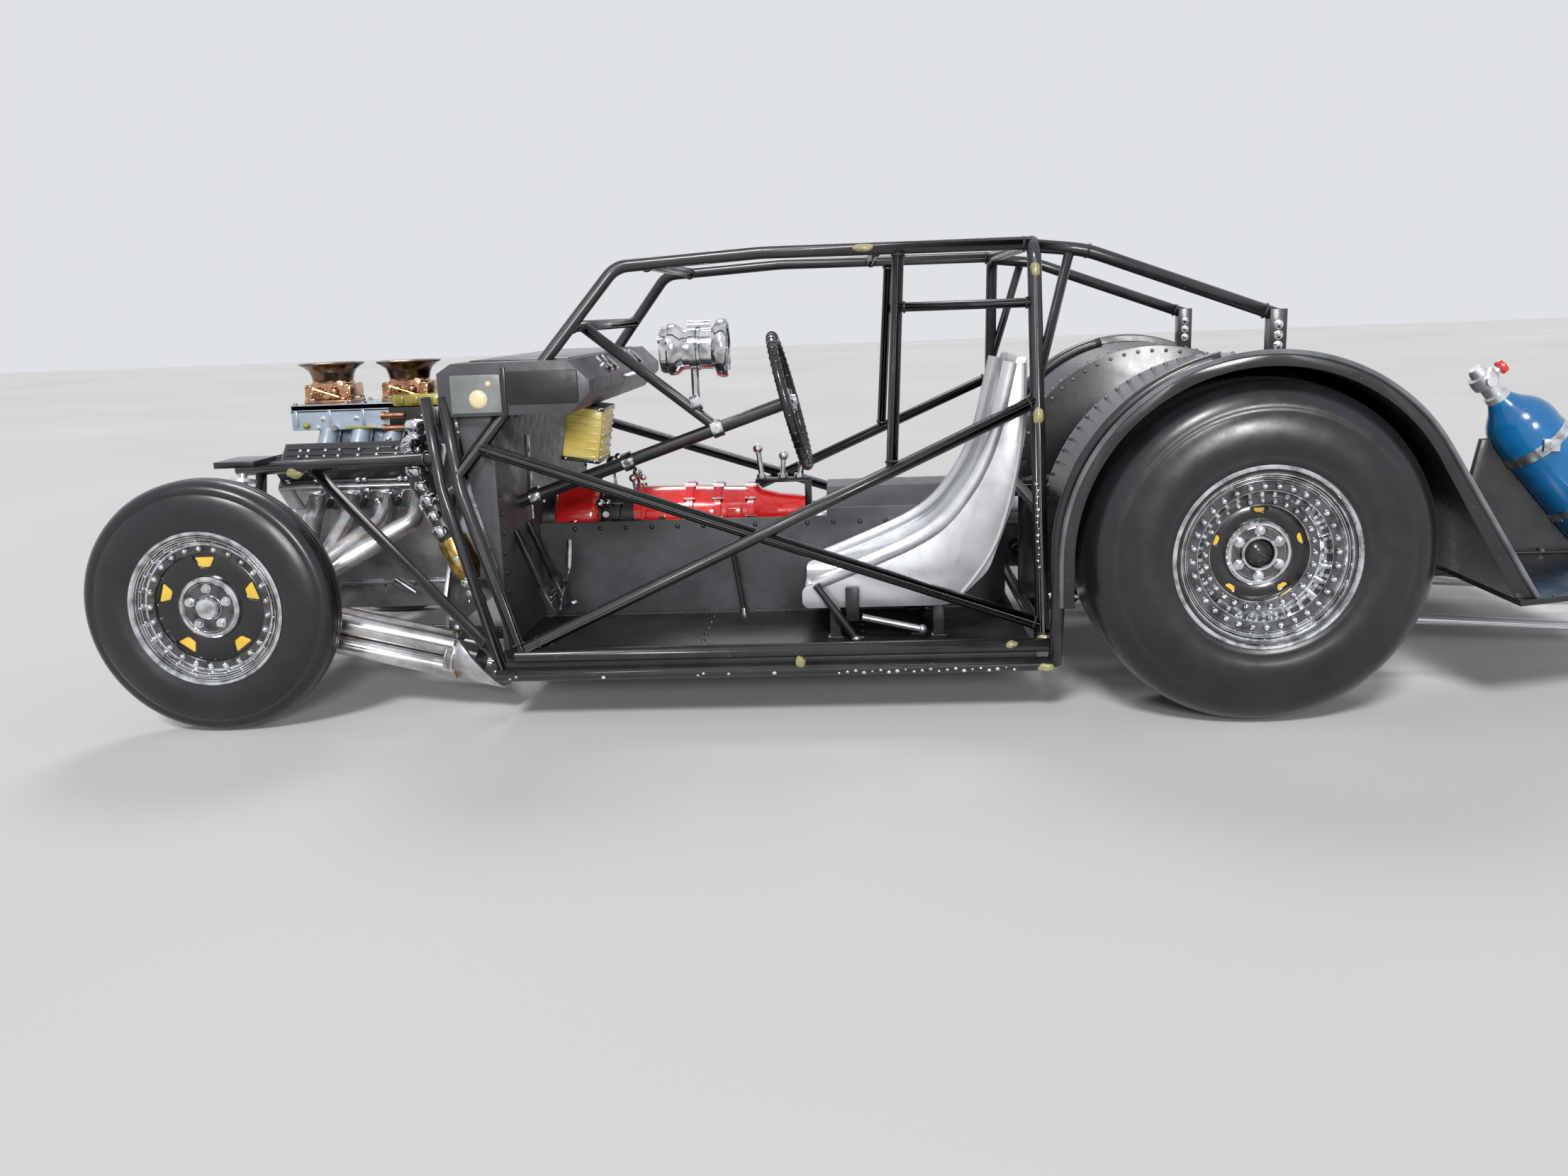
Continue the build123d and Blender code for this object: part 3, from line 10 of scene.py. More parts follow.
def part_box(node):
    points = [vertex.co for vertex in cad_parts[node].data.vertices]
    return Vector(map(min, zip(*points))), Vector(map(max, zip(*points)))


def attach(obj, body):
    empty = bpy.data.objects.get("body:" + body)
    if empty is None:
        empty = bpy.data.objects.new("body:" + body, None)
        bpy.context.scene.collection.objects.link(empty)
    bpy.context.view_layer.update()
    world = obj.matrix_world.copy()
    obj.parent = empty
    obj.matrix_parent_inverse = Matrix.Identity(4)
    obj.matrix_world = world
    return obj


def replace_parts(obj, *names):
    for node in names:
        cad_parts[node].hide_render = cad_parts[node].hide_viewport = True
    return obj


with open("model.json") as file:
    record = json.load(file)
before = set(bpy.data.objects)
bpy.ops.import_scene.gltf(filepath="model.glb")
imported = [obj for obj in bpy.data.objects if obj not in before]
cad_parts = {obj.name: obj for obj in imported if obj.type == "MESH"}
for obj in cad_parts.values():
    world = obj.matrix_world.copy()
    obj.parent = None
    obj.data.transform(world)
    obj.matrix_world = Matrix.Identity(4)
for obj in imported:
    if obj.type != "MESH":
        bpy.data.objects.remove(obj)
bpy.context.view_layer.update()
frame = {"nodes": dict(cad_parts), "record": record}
SLOTS = {row["node"]: row["material_slot"] for row in frame["record"]["subparts"]}
BODIES = {node: body for body, nodes in frame["record"]["behaviour"]["bodies"].items() for node in nodes}

MM = 0.001
MERGE = 1e-6
FACET_TURN = 32.0
UP, AHEAD, LEFT = (0, 0, 1), (1, 0, 0), (0, 1, 0)


def middle(node):
    """Centre of a node's box."""
    low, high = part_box(node)
    return (low + high) / 2


REAR_AXLE = middle("rear_left_tyre")
FRONT_AXLE = middle("front_left_tyre")


def spot(x, y, z):
    """A place in millimetres ahead of the rear axle, to the car's left and above the floor."""
    return Vector((REAR_AXLE.x + x * MM, y * MM, z * MM))


def clear():
    """Leave edit mode and select nothing."""
    if bpy.context.mode != "OBJECT":
        bpy.ops.object.mode_set(mode="OBJECT")
    bpy.ops.object.select_all(action="DESELECT")


def hold(piece):
    """Make a piece the only one selected, and active."""
    clear()
    piece.select_set(True)
    bpy.context.view_layer.objects.active = piece
    return piece


def settle(piece):
    """Write a piece's place, turn and size into its mesh."""
    hold(piece)
    bpy.ops.object.transform_apply(location=True, rotation=True, scale=True)
    return piece


def place_at(centre, along, roll=0.0):
    """Matrix that takes a piece made about +Z at the origin to its place."""
    turn = Vector(along).to_track_quat("Z", "Y").to_matrix().to_4x4()
    return Matrix.Translation(centre) @ turn @ Matrix.Rotation(roll, 4, "Z")


def stand(piece, centre, along, roll=0.0):
    """Turn a piece made about +Z at the origin to face along a direction, at its place."""
    piece.matrix_world = place_at(centre, along, roll)
    return settle(piece)


def pick(piece, kind, test=None):
    """Edit a piece with only the points, edges or faces that pass a test selected, or all of them."""
    hold(piece)
    bpy.ops.object.mode_set(mode="EDIT")
    bpy.ops.mesh.select_mode(type=kind)
    bpy.ops.mesh.select_all(action="DESELECT" if test else "SELECT")
    if test:
        mesh = bmesh.from_edit_mesh(piece.data)
        for item in {"VERT": mesh.verts, "EDGE": mesh.edges, "FACE": mesh.faces}[kind]:
            if test(item):
                item.select = True
        mesh.select_flush_mode()
        bmesh.update_edit_mesh(piece.data)


def modify(piece, kind, **settings):
    """Add a modifier to a piece, set it and apply it."""
    hold(piece)
    modifier = piece.modifiers.new(kind.lower(), kind)
    for key, value in settings.items():
        setattr(modifier, key, value)
    bpy.ops.object.modifier_apply(modifier=modifier.name)
    return piece


def ease(piece, width, angle=30.0):
    """Round the sharp edges of a piece."""
    return modify(
        piece, "BEVEL", width=width, segments=2, limit_method="ANGLE", angle_limit=radians(angle)
    )


def smooth(piece, angle=35.0):
    """Shade the gentle turns of a piece smooth and keep its sharp ones."""
    hold(piece)
    bpy.ops.object.shade_smooth_by_angle(angle=radians(angle))
    return piece


def outward(piece):
    """Merge doubled points and point every face outwards."""
    pick(piece, "VERT")
    bpy.ops.mesh.remove_doubles(threshold=MERGE)
    bpy.ops.mesh.normals_make_consistent(inside=False)
    bpy.ops.object.mode_set(mode="OBJECT")
    return piece


def drum(centre, along, radius, length, sides=32):
    """Closed cylinder centred on a point."""
    clear()
    bpy.ops.mesh.primitive_cone_add(vertices=sides, radius1=radius, radius2=radius, depth=length)
    return stand(bpy.context.object, centre, along)


def rod(start, end, radius, sides=16):
    """Straight round bar between two points."""
    start, end = Vector(start), Vector(end)
    return drum((start + end) / 2, end - start, radius, (end - start).length, sides)


def bar(start, end, radius, sides=16):
    """Straight round bar between two places, in millimetres."""
    return rod(spot(*start), spot(*end), radius * MM, sides)


def block(low, high):
    """Block between two corners."""
    low, high = Vector(low), Vector(high)
    clear()
    bpy.ops.mesh.primitive_cube_add(size=1.0, location=(low + high) / 2, scale=high - low)
    return settle(bpy.context.object)


def ball(place, size, flat=1.0, steps=2):
    """Small rounded lump, its place and radius in millimetres."""
    clear()
    bpy.ops.mesh.primitive_ico_sphere_add(
        subdivisions=steps, radius=size * MM, location=spot(*place), scale=(1.0, 1.0, flat)
    )
    return settle(bpy.context.object)


def spun(outline, centre, along, steps=48):
    """Round piece: an outline of (distance along, radius) is drawn point by point, then spun."""
    clear()
    bpy.ops.mesh.primitive_plane_add(size=MM)
    piece = bpy.context.object
    pick(piece, "VERT")
    bpy.ops.mesh.merge(type="CENTER")
    here = Vector()
    for number, (run, radius) in enumerate(outline):
        step = Vector((radius, 0.0, run)) - here
        if number:
            bpy.ops.mesh.extrude_region_move(TRANSFORM_OT_translate={"value": step})
        else:
            bpy.ops.transform.translate(value=step)
        here += step
    bpy.ops.mesh.select_all(action="SELECT")
    bpy.ops.mesh.spin(steps=steps, angle=tau, center=(0.0, 0.0, 0.0), axis=UP)
    bpy.ops.object.mode_set(mode="OBJECT")
    outward(piece)
    return stand(piece, centre, along)


def pipe(points, radius, sides=16):
    """Round tube along points with smooth turns."""
    curve = bpy.data.curves.new("pipe", "CURVE")
    curve.dimensions = "3D"
    curve.bevel_depth = radius
    curve.bevel_resolution = max(0, sides // 4 - 1)
    curve.resolution_u = 6
    curve.use_fill_caps = True
    line = curve.splines.new("NURBS")
    line.points.add(len(points) - 1)
    for knot, place in zip(line.points, points):
        knot.co = (*place, 1.0)
    line.order_u = 3
    line.use_endpoint_u = True
    piece = bpy.data.objects.new("pipe", curve)
    bpy.context.scene.collection.objects.link(piece)
    hold(piece)
    bpy.ops.object.convert(target="MESH")
    return outward(bpy.context.object)


def hoop(radius, wire, around, sides, location=(0.0, 0.0, 0.0), rotation=(0.0, 0.0, 0.0)):
    """Ring of round wire, its two radii in millimetres."""
    clear()
    bpy.ops.mesh.primitive_torus_add(
        major_segments=around, minor_segments=sides, major_radius=radius * MM, minor_radius=wire * MM,
        location=location, rotation=rotation,
    )
    return settle(bpy.context.object)


def coil(foot, along, radius, wire, length, turns):
    """Round-wire spring of a given number of turns about a line."""
    clear()
    bpy.ops.mesh.primitive_circle_add(vertices=8, radius=wire, fill_type="NGON", rotation=(pi / 2, 0.0, 0.0))
    piece = bpy.context.object
    settle(piece)
    pick(piece, "VERT")
    bpy.ops.transform.translate(value=(radius, 0.0, 0.0))
    bpy.ops.object.mode_set(mode="OBJECT")
    modify(
        piece, "SCREW", angle=tau, iterations=turns, screw_offset=length / turns, steps=24, render_steps=24,
        use_normal_calculate=True,
    )
    outward(piece)
    return stand(piece, foot, along)


def copy_of(piece, move=None):
    """A copy of a piece with its own mesh, moved by a matrix."""
    twin = bpy.data.objects.new(piece.name, piece.data.copy())
    bpy.context.scene.collection.objects.link(twin)
    if move is not None:
        twin.data.transform(move)
    return twin


def joined(first, *others):
    """Several meshes as one piece."""
    clear()
    for piece in (first, *others):
        piece.select_set(True)
    bpy.context.view_layer.objects.active = first
    bpy.ops.object.join()
    return bpy.context.object


def mirrored(piece):
    """The same piece on the right side of the car."""
    twin = copy_of(piece, Matrix.Scale(-1.0, 4, (0.0, 1.0, 0.0)))
    return outward(twin)


def with_twin(piece):
    """A piece joined to its mirror image on the right side."""
    return joined(piece, mirrored(piece))


def studded(master, places):
    """Copies of one small piece at each place, joined. The master goes."""
    copies = [copy_of(master, place) for place in places]
    bpy.data.objects.remove(master)
    return joined(*copies)


def ring_of(master, count, radius, centre, along, start=0.0, lift=0.0):
    """Copies of a small piece made about +Z, spread round a circle and joined."""
    base = place_at(centre, along)
    places = []
    for number in range(count):
        turn = Matrix.Rotation(start + tau * number / count, 4, "Z")
        places.append(base @ turn @ Matrix.Translation((radius, 0.0, lift)))
    return studded(master, places)


def bolt_head(across, height):
    """Bolt head with a worn crown on a washer, standing on the origin, in millimetres."""
    across, height = across * MM, height * MM
    head = drum((0.0, 0.0, height / 2), UP, across / 2, height, 6)
    pick(head, "FACE", lambda face: face.normal.z > 0.9)
    bpy.ops.mesh.inset(thickness=across * 0.1, depth=across * 0.05)
    bpy.ops.object.mode_set(mode="OBJECT")
    washer = drum((0.0, 0.0, height * 0.12), UP, across * 0.62, height * 0.24, 12)
    return joined(head, washer)


def dome_head(across, height):
    """Round rivet head standing on the origin, in millimetres."""
    turns = [radians(30.0 * step) for step in range(4)]
    arc = [(height * sin(turn), across / 2 * cos(turn)) for turn in turns]
    return turned([(0.0, 0.0), *arc], (0.0, 0.0, 0.0), UP, 12)


def dressed(node, edge=0.0):
    """A node's own form with its facets merged, its sharp edges eased and its turns smooth."""
    piece = bpy.data.objects.new(node + "_finished", frame["nodes"][node].data.copy())
    bpy.context.scene.collection.objects.link(piece)
    pick(piece, "VERT")
    bpy.ops.mesh.remove_doubles(threshold=MERGE)
    if edge:
        bpy.ops.mesh.dissolve_limited(angle_limit=radians(1.0))
    bpy.ops.object.mode_set(mode="OBJECT")
    if edge:
        ease(piece, edge, angle=FACET_TURN)
    smooth(piece, FACET_TURN)
    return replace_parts(piece, node)


def keep(piece, name, material, body="chassis", replaces=(), turn=35.0):
    """Name a finished piece, give it its material and its body, and say what it stands for."""
    piece.name = name
    piece.data.name = name
    if turn:
        smooth(piece, turn)
    piece.data.materials.clear()
    piece.data.materials.append(material)
    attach(piece, body)
    if replaces:
        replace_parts(piece, *replaces)
    return piece


def finish(node, material, edge=0.0):
    """A node in its own form, its edges eased in millimetres, with its finish."""
    return keep(dressed(node, edge * MM), node + "_fine", material, turn=None)


class Shades:
    """Node graph of one material, with the Principled shader's own sockets set by name."""

    def __init__(self, name, **sockets):
        self.material = bpy.data.materials.new(name)
        self.material.use_nodes = True
        self.tree = self.material.node_tree
        self.shader = self.tree.nodes["Principled BSDF"]
        for key, value in sockets.items():
            self.shader.inputs[key.replace("_", " ")].default_value = value
        self.place = self.add("ShaderNodeTexCoord").outputs["Object"]

    def add(self, kind, **settings):
        """Add a node and set its properties."""
        node = self.tree.nodes.new(kind)
        for key, value in settings.items():
            setattr(node, key, value)
        return node

    def link(self, source, target):
        """Join two sockets."""
        self.tree.links.new(source, target)

    def noise(self, scale, detail=4.0, rough=0.55):
        """Cloudy pattern through the piece, from 0 to 1."""
        node = self.add("ShaderNodeTexNoise")
        node.inputs["Scale"].default_value = scale
        node.inputs["Detail"].default_value = detail
        node.inputs["Roughness"].default_value = rough
        self.link(self.place, node.inputs["Vector"])
        return node.outputs["Fac"]

    def ramp(self, value, *stops):
        """Colours, or greys, at places along a value."""
        node = self.add("ShaderNodeValToRGB")
        ramp = node.color_ramp
        while len(ramp.elements) < len(stops):
            ramp.elements.new(0.5)
        for element, (position, colour) in zip(ramp.elements, stops):
            element.position = position
            element.color = (*colour, 1.0) if isinstance(colour, tuple) else (colour, colour, colour, 1.0)
        self.link(value, node.inputs["Fac"])
        return node.outputs["Color"]

    def range(self, value, low, high, start=0.3, end=0.7):
        """A value stretched to a range."""
        node = self.add("ShaderNodeMapRange")
        for key, number in (("From Min", start), ("From Max", end), ("To Min", low), ("To Max", high)):
            node.inputs[key].default_value = number
        self.link(value, node.inputs["Value"])
        return node.outputs["Result"]

    def mix(self, amount, first, second):
        """Two colours mixed by an amount."""
        node = self.add("ShaderNodeMix", data_type="RGBA")
        self.link(amount, node.inputs["Factor"])
        for key, colour in ((6, first), (7, second)):
            if isinstance(colour, tuple):
                node.inputs[key].default_value = (*colour, 1.0)
            else:
                self.link(colour, node.inputs[key])
        return node.outputs[2]

    def colour(self, source):
        """Give the surface its colour."""
        self.link(source, self.shader.inputs["Base Color"])

    def rough(self, source):
        """Give the surface its roughness."""
        self.link(source, self.shader.inputs["Roughness"])

    def bump(self, source, strength, depth):
        """Raise the surface by a pattern."""
        node = self.add("ShaderNodeBump")
        node.inputs["Strength"].default_value = strength
        node.inputs["Distance"].default_value = depth
        self.link(source, node.inputs["Height"])
        self.link(node.outputs["Normal"], self.shader.inputs["Normal"])


def brushed_paint(name, dark, light, rough, spread=0.08, coat=0.0, metal=0.0, lumps=0.3, dust=0.0):
    """Hand-painted styrene: colour drift, uneven gloss, faint brush ripples and, if asked, dust specks."""
    s = Shades(name, Metallic=metal, Coat_Weight=coat, Coat_Roughness=0.12)
    paint = s.ramp(s.noise(260.0), (0.32, dark), (0.68, light))
    if dust:
        paint = s.mix(s.range(s.noise(2100.0, 2.0, 0.7), 0.0, dust, 0.7, 0.78), paint, (0.42, 0.42, 0.4))
    s.colour(paint)
    s.rough(s.range(s.noise(700.0, 3.0), rough - spread, rough + spread))
    s.bump(s.noise(1500.0, 3.0), lumps, 0.00004)
    return s.material


def plating(name, tint, rough=0.09, dull=0.1):
    """Bright plated plastic with darker patches, partly random tone and partly painted dark reflection, and
    fine pits.
    """
    s = Shades(name, Metallic=1.0)
    shade = tuple(c * 0.42 for c in tint)
    # the darker stops are partly random tone and partly painted dark reflection
    s.colour(s.ramp(s.noise(700.0, 4.0), (0.36, shade), (0.5, tuple(c * 0.8 for c in tint)), (0.62, tint)))
    s.rough(s.range(s.noise(900.0, 5.0), rough - 0.03, rough + dull, 0.35, 0.75))
    s.bump(s.noise(1300.0, 3.0), 0.12, 0.00005)
    return s.material


def heated_metal(name):
    """Silver pipe metal with patches of brown heat tint."""
    s = Shades(name, Metallic=0.85, Coat_Weight=0.15, Coat_Roughness=0.2)
    metal = s.ramp(s.noise(300.0, 4.0), (0.34, (0.36, 0.36, 0.36)), (0.62, (0.7, 0.7, 0.71)))
    tint = s.range(s.noise(170.0, 3.0, 0.6), 0.0, 0.75, 0.56, 0.66)
    s.colour(s.mix(tint, metal, (0.5, 0.31, 0.17)))
    s.rough(s.range(s.noise(900.0, 5.0), 0.22, 0.4))
    s.bump(s.noise(1400.0, 3.0), 0.15, 0.00003)
    return s.material


def vinyl_tyre(name):
    """Black vinyl with a slight colour drift, uneven gloss and dust specks."""
    s = Shades(name, Sheen_Weight=0.04, Sheen_Roughness=0.4, Specular_IOR_Level=0.45,
               Coat_Weight=0.3, Coat_Roughness=0.3)
    drift = s.ramp(s.noise(180.0), (0.3, (0.006, 0.007, 0.008)), (0.7, (0.014, 0.015, 0.017)))
    specks = s.range(s.noise(2400.0, 2.0, 0.8), 0.0, 0.5, 0.72, 0.82)
    s.colour(s.mix(specks, drift, (0.2, 0.2, 0.19)))
    s.rough(s.range(s.noise(500.0, 5.0), 0.2, 0.36))
    s.bump(s.noise(1900.0, 4.0), 0.2, 0.00003)
    return s.material


BLACK_FRAME = brushed_paint("black_frame_paint", (0.012, 0.013, 0.014), (0.026, 0.028, 0.03), 0.3,
                            spread=0.06, coat=0.3, lumps=0.12, dust=0.35)
SATIN_BLACK = brushed_paint("satin_black_paint", (0.009, 0.009, 0.01), (0.022, 0.022, 0.024), 0.42,
                            spread=0.1)
PANEL_GREY = brushed_paint("panel_grey_paint", (0.05, 0.053, 0.057), (0.08, 0.084, 0.09), 0.42, spread=0.1)
TUB_GREY = brushed_paint("tub_grey_paint", (0.012, 0.013, 0.014), (0.02, 0.021, 0.023), 0.27,
                         spread=0.04, coat=0.2, lumps=0.08, dust=0.3)
# lighter grey of the tubs' lips and rivets: painted highlight
TUB_HIGHLIGHT_GREY = brushed_paint("tub_edge_painted_highlight", (0.09, 0.095, 0.1), (0.2, 0.21, 0.22), 0.22, coat=0.4,
                         metal=0.2, lumps=0.2)
PANEL_LIGHT = brushed_paint("end_plate_grey_paint", (0.16, 0.17, 0.17), (0.27, 0.28, 0.28), 0.4,
                            spread=0.1, coat=0.1, lumps=0.2)
YELLOW_PALE = brushed_paint("button_cream_paint", (0.72, 0.6, 0.34), (0.86, 0.76, 0.5), 0.35, coat=0.2,
                            lumps=0.2)
CHROME = plating("bright_plating", (0.86, 0.87, 0.89))
TYRE = vinyl_tyre("tyre_vinyl")
SILVER = brushed_paint("silver_paint", (0.6, 0.61, 0.63), (0.7, 0.71, 0.74), 0.32, spread=0.05,
                       coat=0.2, metal=0.7, lumps=0.06)
ALLOY = brushed_paint("cast_alloy_paint", (0.3, 0.3, 0.31), (0.5, 0.5, 0.52), 0.34, spread=0.1,
                      metal=0.85, lumps=0.6)
PALE_BLUE = brushed_paint("manifold_paint", (0.3, 0.36, 0.43), (0.42, 0.49, 0.57), 0.3, coat=0.2,
                          metal=0.35)
COPPER = plating("copper_plating", (0.66, 0.36, 0.22), rough=0.14, dull=0.14)
GOLD = plating("gold_paint", (0.8, 0.55, 0.16), rough=0.22, dull=0.1)
RED = brushed_paint("gearbox_red_paint", (0.68, 0.012, 0.012), (0.85, 0.025, 0.02), 0.18, spread=0.06,
                    coat=0.7, lumps=0.2)
BLUE = brushed_paint("bottle_blue_paint", (0.003, 0.12, 0.33), (0.007, 0.19, 0.48), 0.22, spread=0.07,
                     coat=0.5, lumps=0.2)
YELLOW = brushed_paint("box_yellow_paint", (0.82, 0.61, 0.12), (0.94, 0.77, 0.25), 0.3, coat=0.3, lumps=0.2)
AMBER = brushed_paint("window_amber_paint", (0.7, 0.42, 0.03), (0.85, 0.56, 0.07), 0.25, coat=0.5,
                      lumps=0.2)
DARK_COPPER = plating("dark_copper_plating", (0.2, 0.13, 0.09), rough=0.2, dull=0.14)
# dark plating for the rims' recesses: painted shade and dark reflection
PAINTED_SHADE_PLATING = plating("painted_shade_plating", (0.16, 0.165, 0.17), rough=0.22, dull=0.16)
HEADER_SILVER = heated_metal("header_silver_paint")
WHEEL_BLACK = brushed_paint("wheel_black_paint", (0.004, 0.004, 0.005), (0.012, 0.012, 0.013), 0.25,
                            coat=0.4)
OLIVE = brushed_paint("olive_yellow_paint", (0.24, 0.2, 0.035), (0.5, 0.42, 0.08), 0.26, coat=0.4,
                      metal=0.1)
GLUE = brushed_paint("old_glue", (0.2, 0.18, 0.07), (0.44, 0.4, 0.2), 0.32, spread=0.1, coat=0.4)

FRONT_TYRE_SIDE = [
    # millimetres from the tyre's middle, radius: bead, bulge, groove, shoulder, then the tread's two grooves
    (1.95, 7.72), (2.12, 8.5), (2.36, 9.1), (2.47, 9.7), (2.5, 10.3), (2.46, 10.9), (2.36, 11.5),
    (2.18, 12.1), (2.02, 12.4), (2.1, 12.6), (2.06, 13.0), (1.86, 13.35), (1.5, 13.66), (0.95, 13.87),
    (0.58, 13.9), (0.5, 13.6), (0.3, 13.6), (0.24, 13.9),
]
REAR_TYRE_SIDE = [
    # bead, raised ring, bulge, shadow groove, scuffed ring and shoulder
    (7.95, 8.45), (8.02, 9.1), (8.24, 9.5), (8.3, 9.9), (8.26, 10.2), (8.42, 10.7), (8.5, 11.5), (8.47, 12.3),
    (8.36, 13.1), (8.18, 13.8), (7.98, 14.35), (7.84, 14.6), (7.86, 14.8), (7.78, 15.2), (7.5, 15.8),
    (7.1, 16.35), (6.6, 16.8), (6.0, 17.15), (5.2, 17.38), (4.2, 17.48), (2.5, 17.5),
]
FRONT_RIM_OUTLINE = [
    # stepped lip, bolt ledge, dish, hub, back of the hub, brake disc, barrel, inner lip
    (2.0, 8.42), (2.2, 8.5), (2.3, 8.38), (2.26, 8.15), (2.05, 8.0), (2.0, 7.68), (1.72, 7.55), (1.66, 7.2),
    (1.15, 7.02), (1.05, 6.1), (0.55, 6.02), (0.5, 3.4), (0.9, 3.2), (0.9, 1.5), (1.15, 1.4), (1.15, 1.06),
    (-4.3, 1.06), (-4.3, 4.6), (-3.6, 4.6), (-3.6, 2.4), (0.1, 2.4), (0.1, 6.2), (-1.5, 7.0), (-2.0, 7.9),
    (-2.28, 8.1), (-2.3, 8.4), (-2.2, 8.5), (-2.0, 8.42), (-1.95, 7.7), (1.95, 7.7),
]
REAR_RIM_OUTLINE = [
    # stepped lip, first bolt ledge, cone, second bolt ledge, dish, hub, brake disc, barrel, inner lip
    (8.0, 9.22), (8.2, 9.3), (8.3, 9.18), (8.25, 8.9), (7.95, 8.72), (7.88, 8.3), (7.55, 8.15), (7.5, 7.85),
    (7.25, 7.7), (7.15, 6.6), (6.3, 6.45), (5.6, 6.0), (5.45, 5.85), (5.35, 4.95), (4.5, 4.85), (4.4, 3.5),
    (4.7, 3.3), (4.7, 1.6), (4.4, 1.38), (-10.6, 1.38), (-10.6, 5.6), (-9.9, 5.6), (-9.9, 2.4), (3.6, 2.4),
    (3.6, 5.0), (4.6, 6.9), (-7.0, 7.7), (-7.7, 8.1), (-8.2, 8.9), (-8.3, 9.18), (-8.2, 9.3), (-8.0, 9.22),
    (-7.95, 8.42), (7.95, 8.42),
]


def turned(outline, centre, along=LEFT, steps=64):
    """Round piece from an outline in millimetres, spun about a line."""
    return spun([(run * MM, radius * MM) for run, radius in outline], centre, along, steps)


def tyre(side, centre):
    """Tyre from one side's outline and its mirror."""
    return turned(side + [(-run, radius) for run, radius in reversed(side)], centre, steps=96)


def window(inner, outer, half_in, half_out, low, high):
    """Wedge-shaped opening, wide side outward, lying along +X."""
    wedge = brick(inner, outer, -half_in, half_in, low, high)
    pick(wedge, "VERT", lambda vert: vert.co.x > (inner + outer) / 2 * MM)
    bpy.ops.transform.resize(value=(1.0, half_out / half_in, 1.0))
    bpy.ops.object.mode_set(mode="OBJECT")
    return ease(wedge, 0.35 * MM, angle=60.0)


def pierced_disc(centre, radius, hub, face, thick, windows):
    """Disc round the hub with five wedge openings, and the pieces that show through them."""
    disc = turned([(face - thick, hub), (face - thick, radius), (face - 0.05, radius), (face, radius - 0.08),
                   (face, hub + 0.1), (face - 0.06, hub)], Vector(), UP, 80)
    cutter = ring_of(window(*windows, face - thick * 0.75, face + 1.0), 5, 0.0, (0, 0, 0), UP, -pi / 2)
    hold(disc)
    modifier = disc.modifiers.new("windows", "BOOLEAN")
    modifier.object = cutter
    modifier.solver = "EXACT"
    bpy.ops.object.modifier_apply(modifier=modifier.name)
    bpy.data.objects.remove(cutter)
    gap = 0.06
    inner, *rest = windows
    shrunk = (inner + gap, *[size - gap for size in rest])
    panes = window(*shrunk, face - thick * 0.9, face - thick * 0.6)
    panes = ring_of(panes, 5, 0.0, (0, 0, 0), UP, -pi / 2)
    return stand(disc, centre, LEFT), stand(panes, centre, LEFT)


def lug_nuts(centre, count, radius, face):
    """Lug nuts on the hub."""
    return ring_of(bolt_head(0.85, 0.55), count, radius * MM, centre, LEFT, pi / 2, face * MM)


def front_wheel(centre):
    """Front wheel's pieces: tyre, plated rim, bolts, black centre, windows, hub, and dark plated rings that
    are painted shade and dark reflection in the rim's recesses.
    """
    disc, panes = pierced_disc(centre, 6.0, 3.3, 0.95, 0.4, (4.2, 5.7, 0.62, 1.42))
    bolts = ring_of(dome_head(0.74, 0.46), 25, 6.5 * MM, centre, LEFT, 0.1, 1.1 * MM)
    seats = ring_of(dome_head(0.3, 0.1), 25, 7.34 * MM, centre, LEFT, 0.1, 1.68 * MM)
    # dark plated rings on the bolt ledge, in the lip's grooves and on the hub's dish: painted shade and dark
    # reflection
    ledge = joined(
        turned([(1.0, 6.02), (1.0, 7.02), (1.14, 7.02), (1.1, 6.1)], centre, steps=96),
        turned([(1.6, 7.28), (1.6, 7.46), (1.78, 7.44), (1.74, 7.3)], centre, steps=96),
        turned([(1.95, 7.74), (1.95, 7.9), (2.1, 7.88), (2.08, 7.76)], centre, steps=96),
        turned([(1.08, 1.42), (1.08, 2.7), (1.17, 2.7), (1.17, 1.42)], centre, steps=48),
    )
    ring = [(0.85, 1.5), (0.85, 3.4), (1.2, 3.38), (1.35, 3.2), (1.35, 2.9), (1.1, 2.75), (1.1, 1.4)]
    cap = [(1.1, 0.02), (1.1, 1.35), (1.7, 1.3), (2.0, 1.05), (2.1, 0.6), (2.12, 0.02)]
    hub = joined(turned(ring, centre), turned(cap, centre, steps=32), lug_nuts(centre, 5, 2.1, 1.1))
    return {
        "tyre": (tyre(FRONT_TYRE_SIDE, centre), TYRE, "tyre"),
        "rim": (turned(FRONT_RIM_OUTLINE, centre, steps=96), CHROME, "rim_chrome"),
        "rim_bolts": (joined(bolts, seats), CHROME, "rim_chrome"),
        "black_centre": (disc, WHEEL_BLACK, "wheelie_black"),
        "yellow_windows": (panes, AMBER, "box_yellow"),
        "painted_shade_rings": (ledge, PAINTED_SHADE_PLATING, "rim_chrome"),
        "hub": (hub, CHROME, "rim_chrome"),
    }


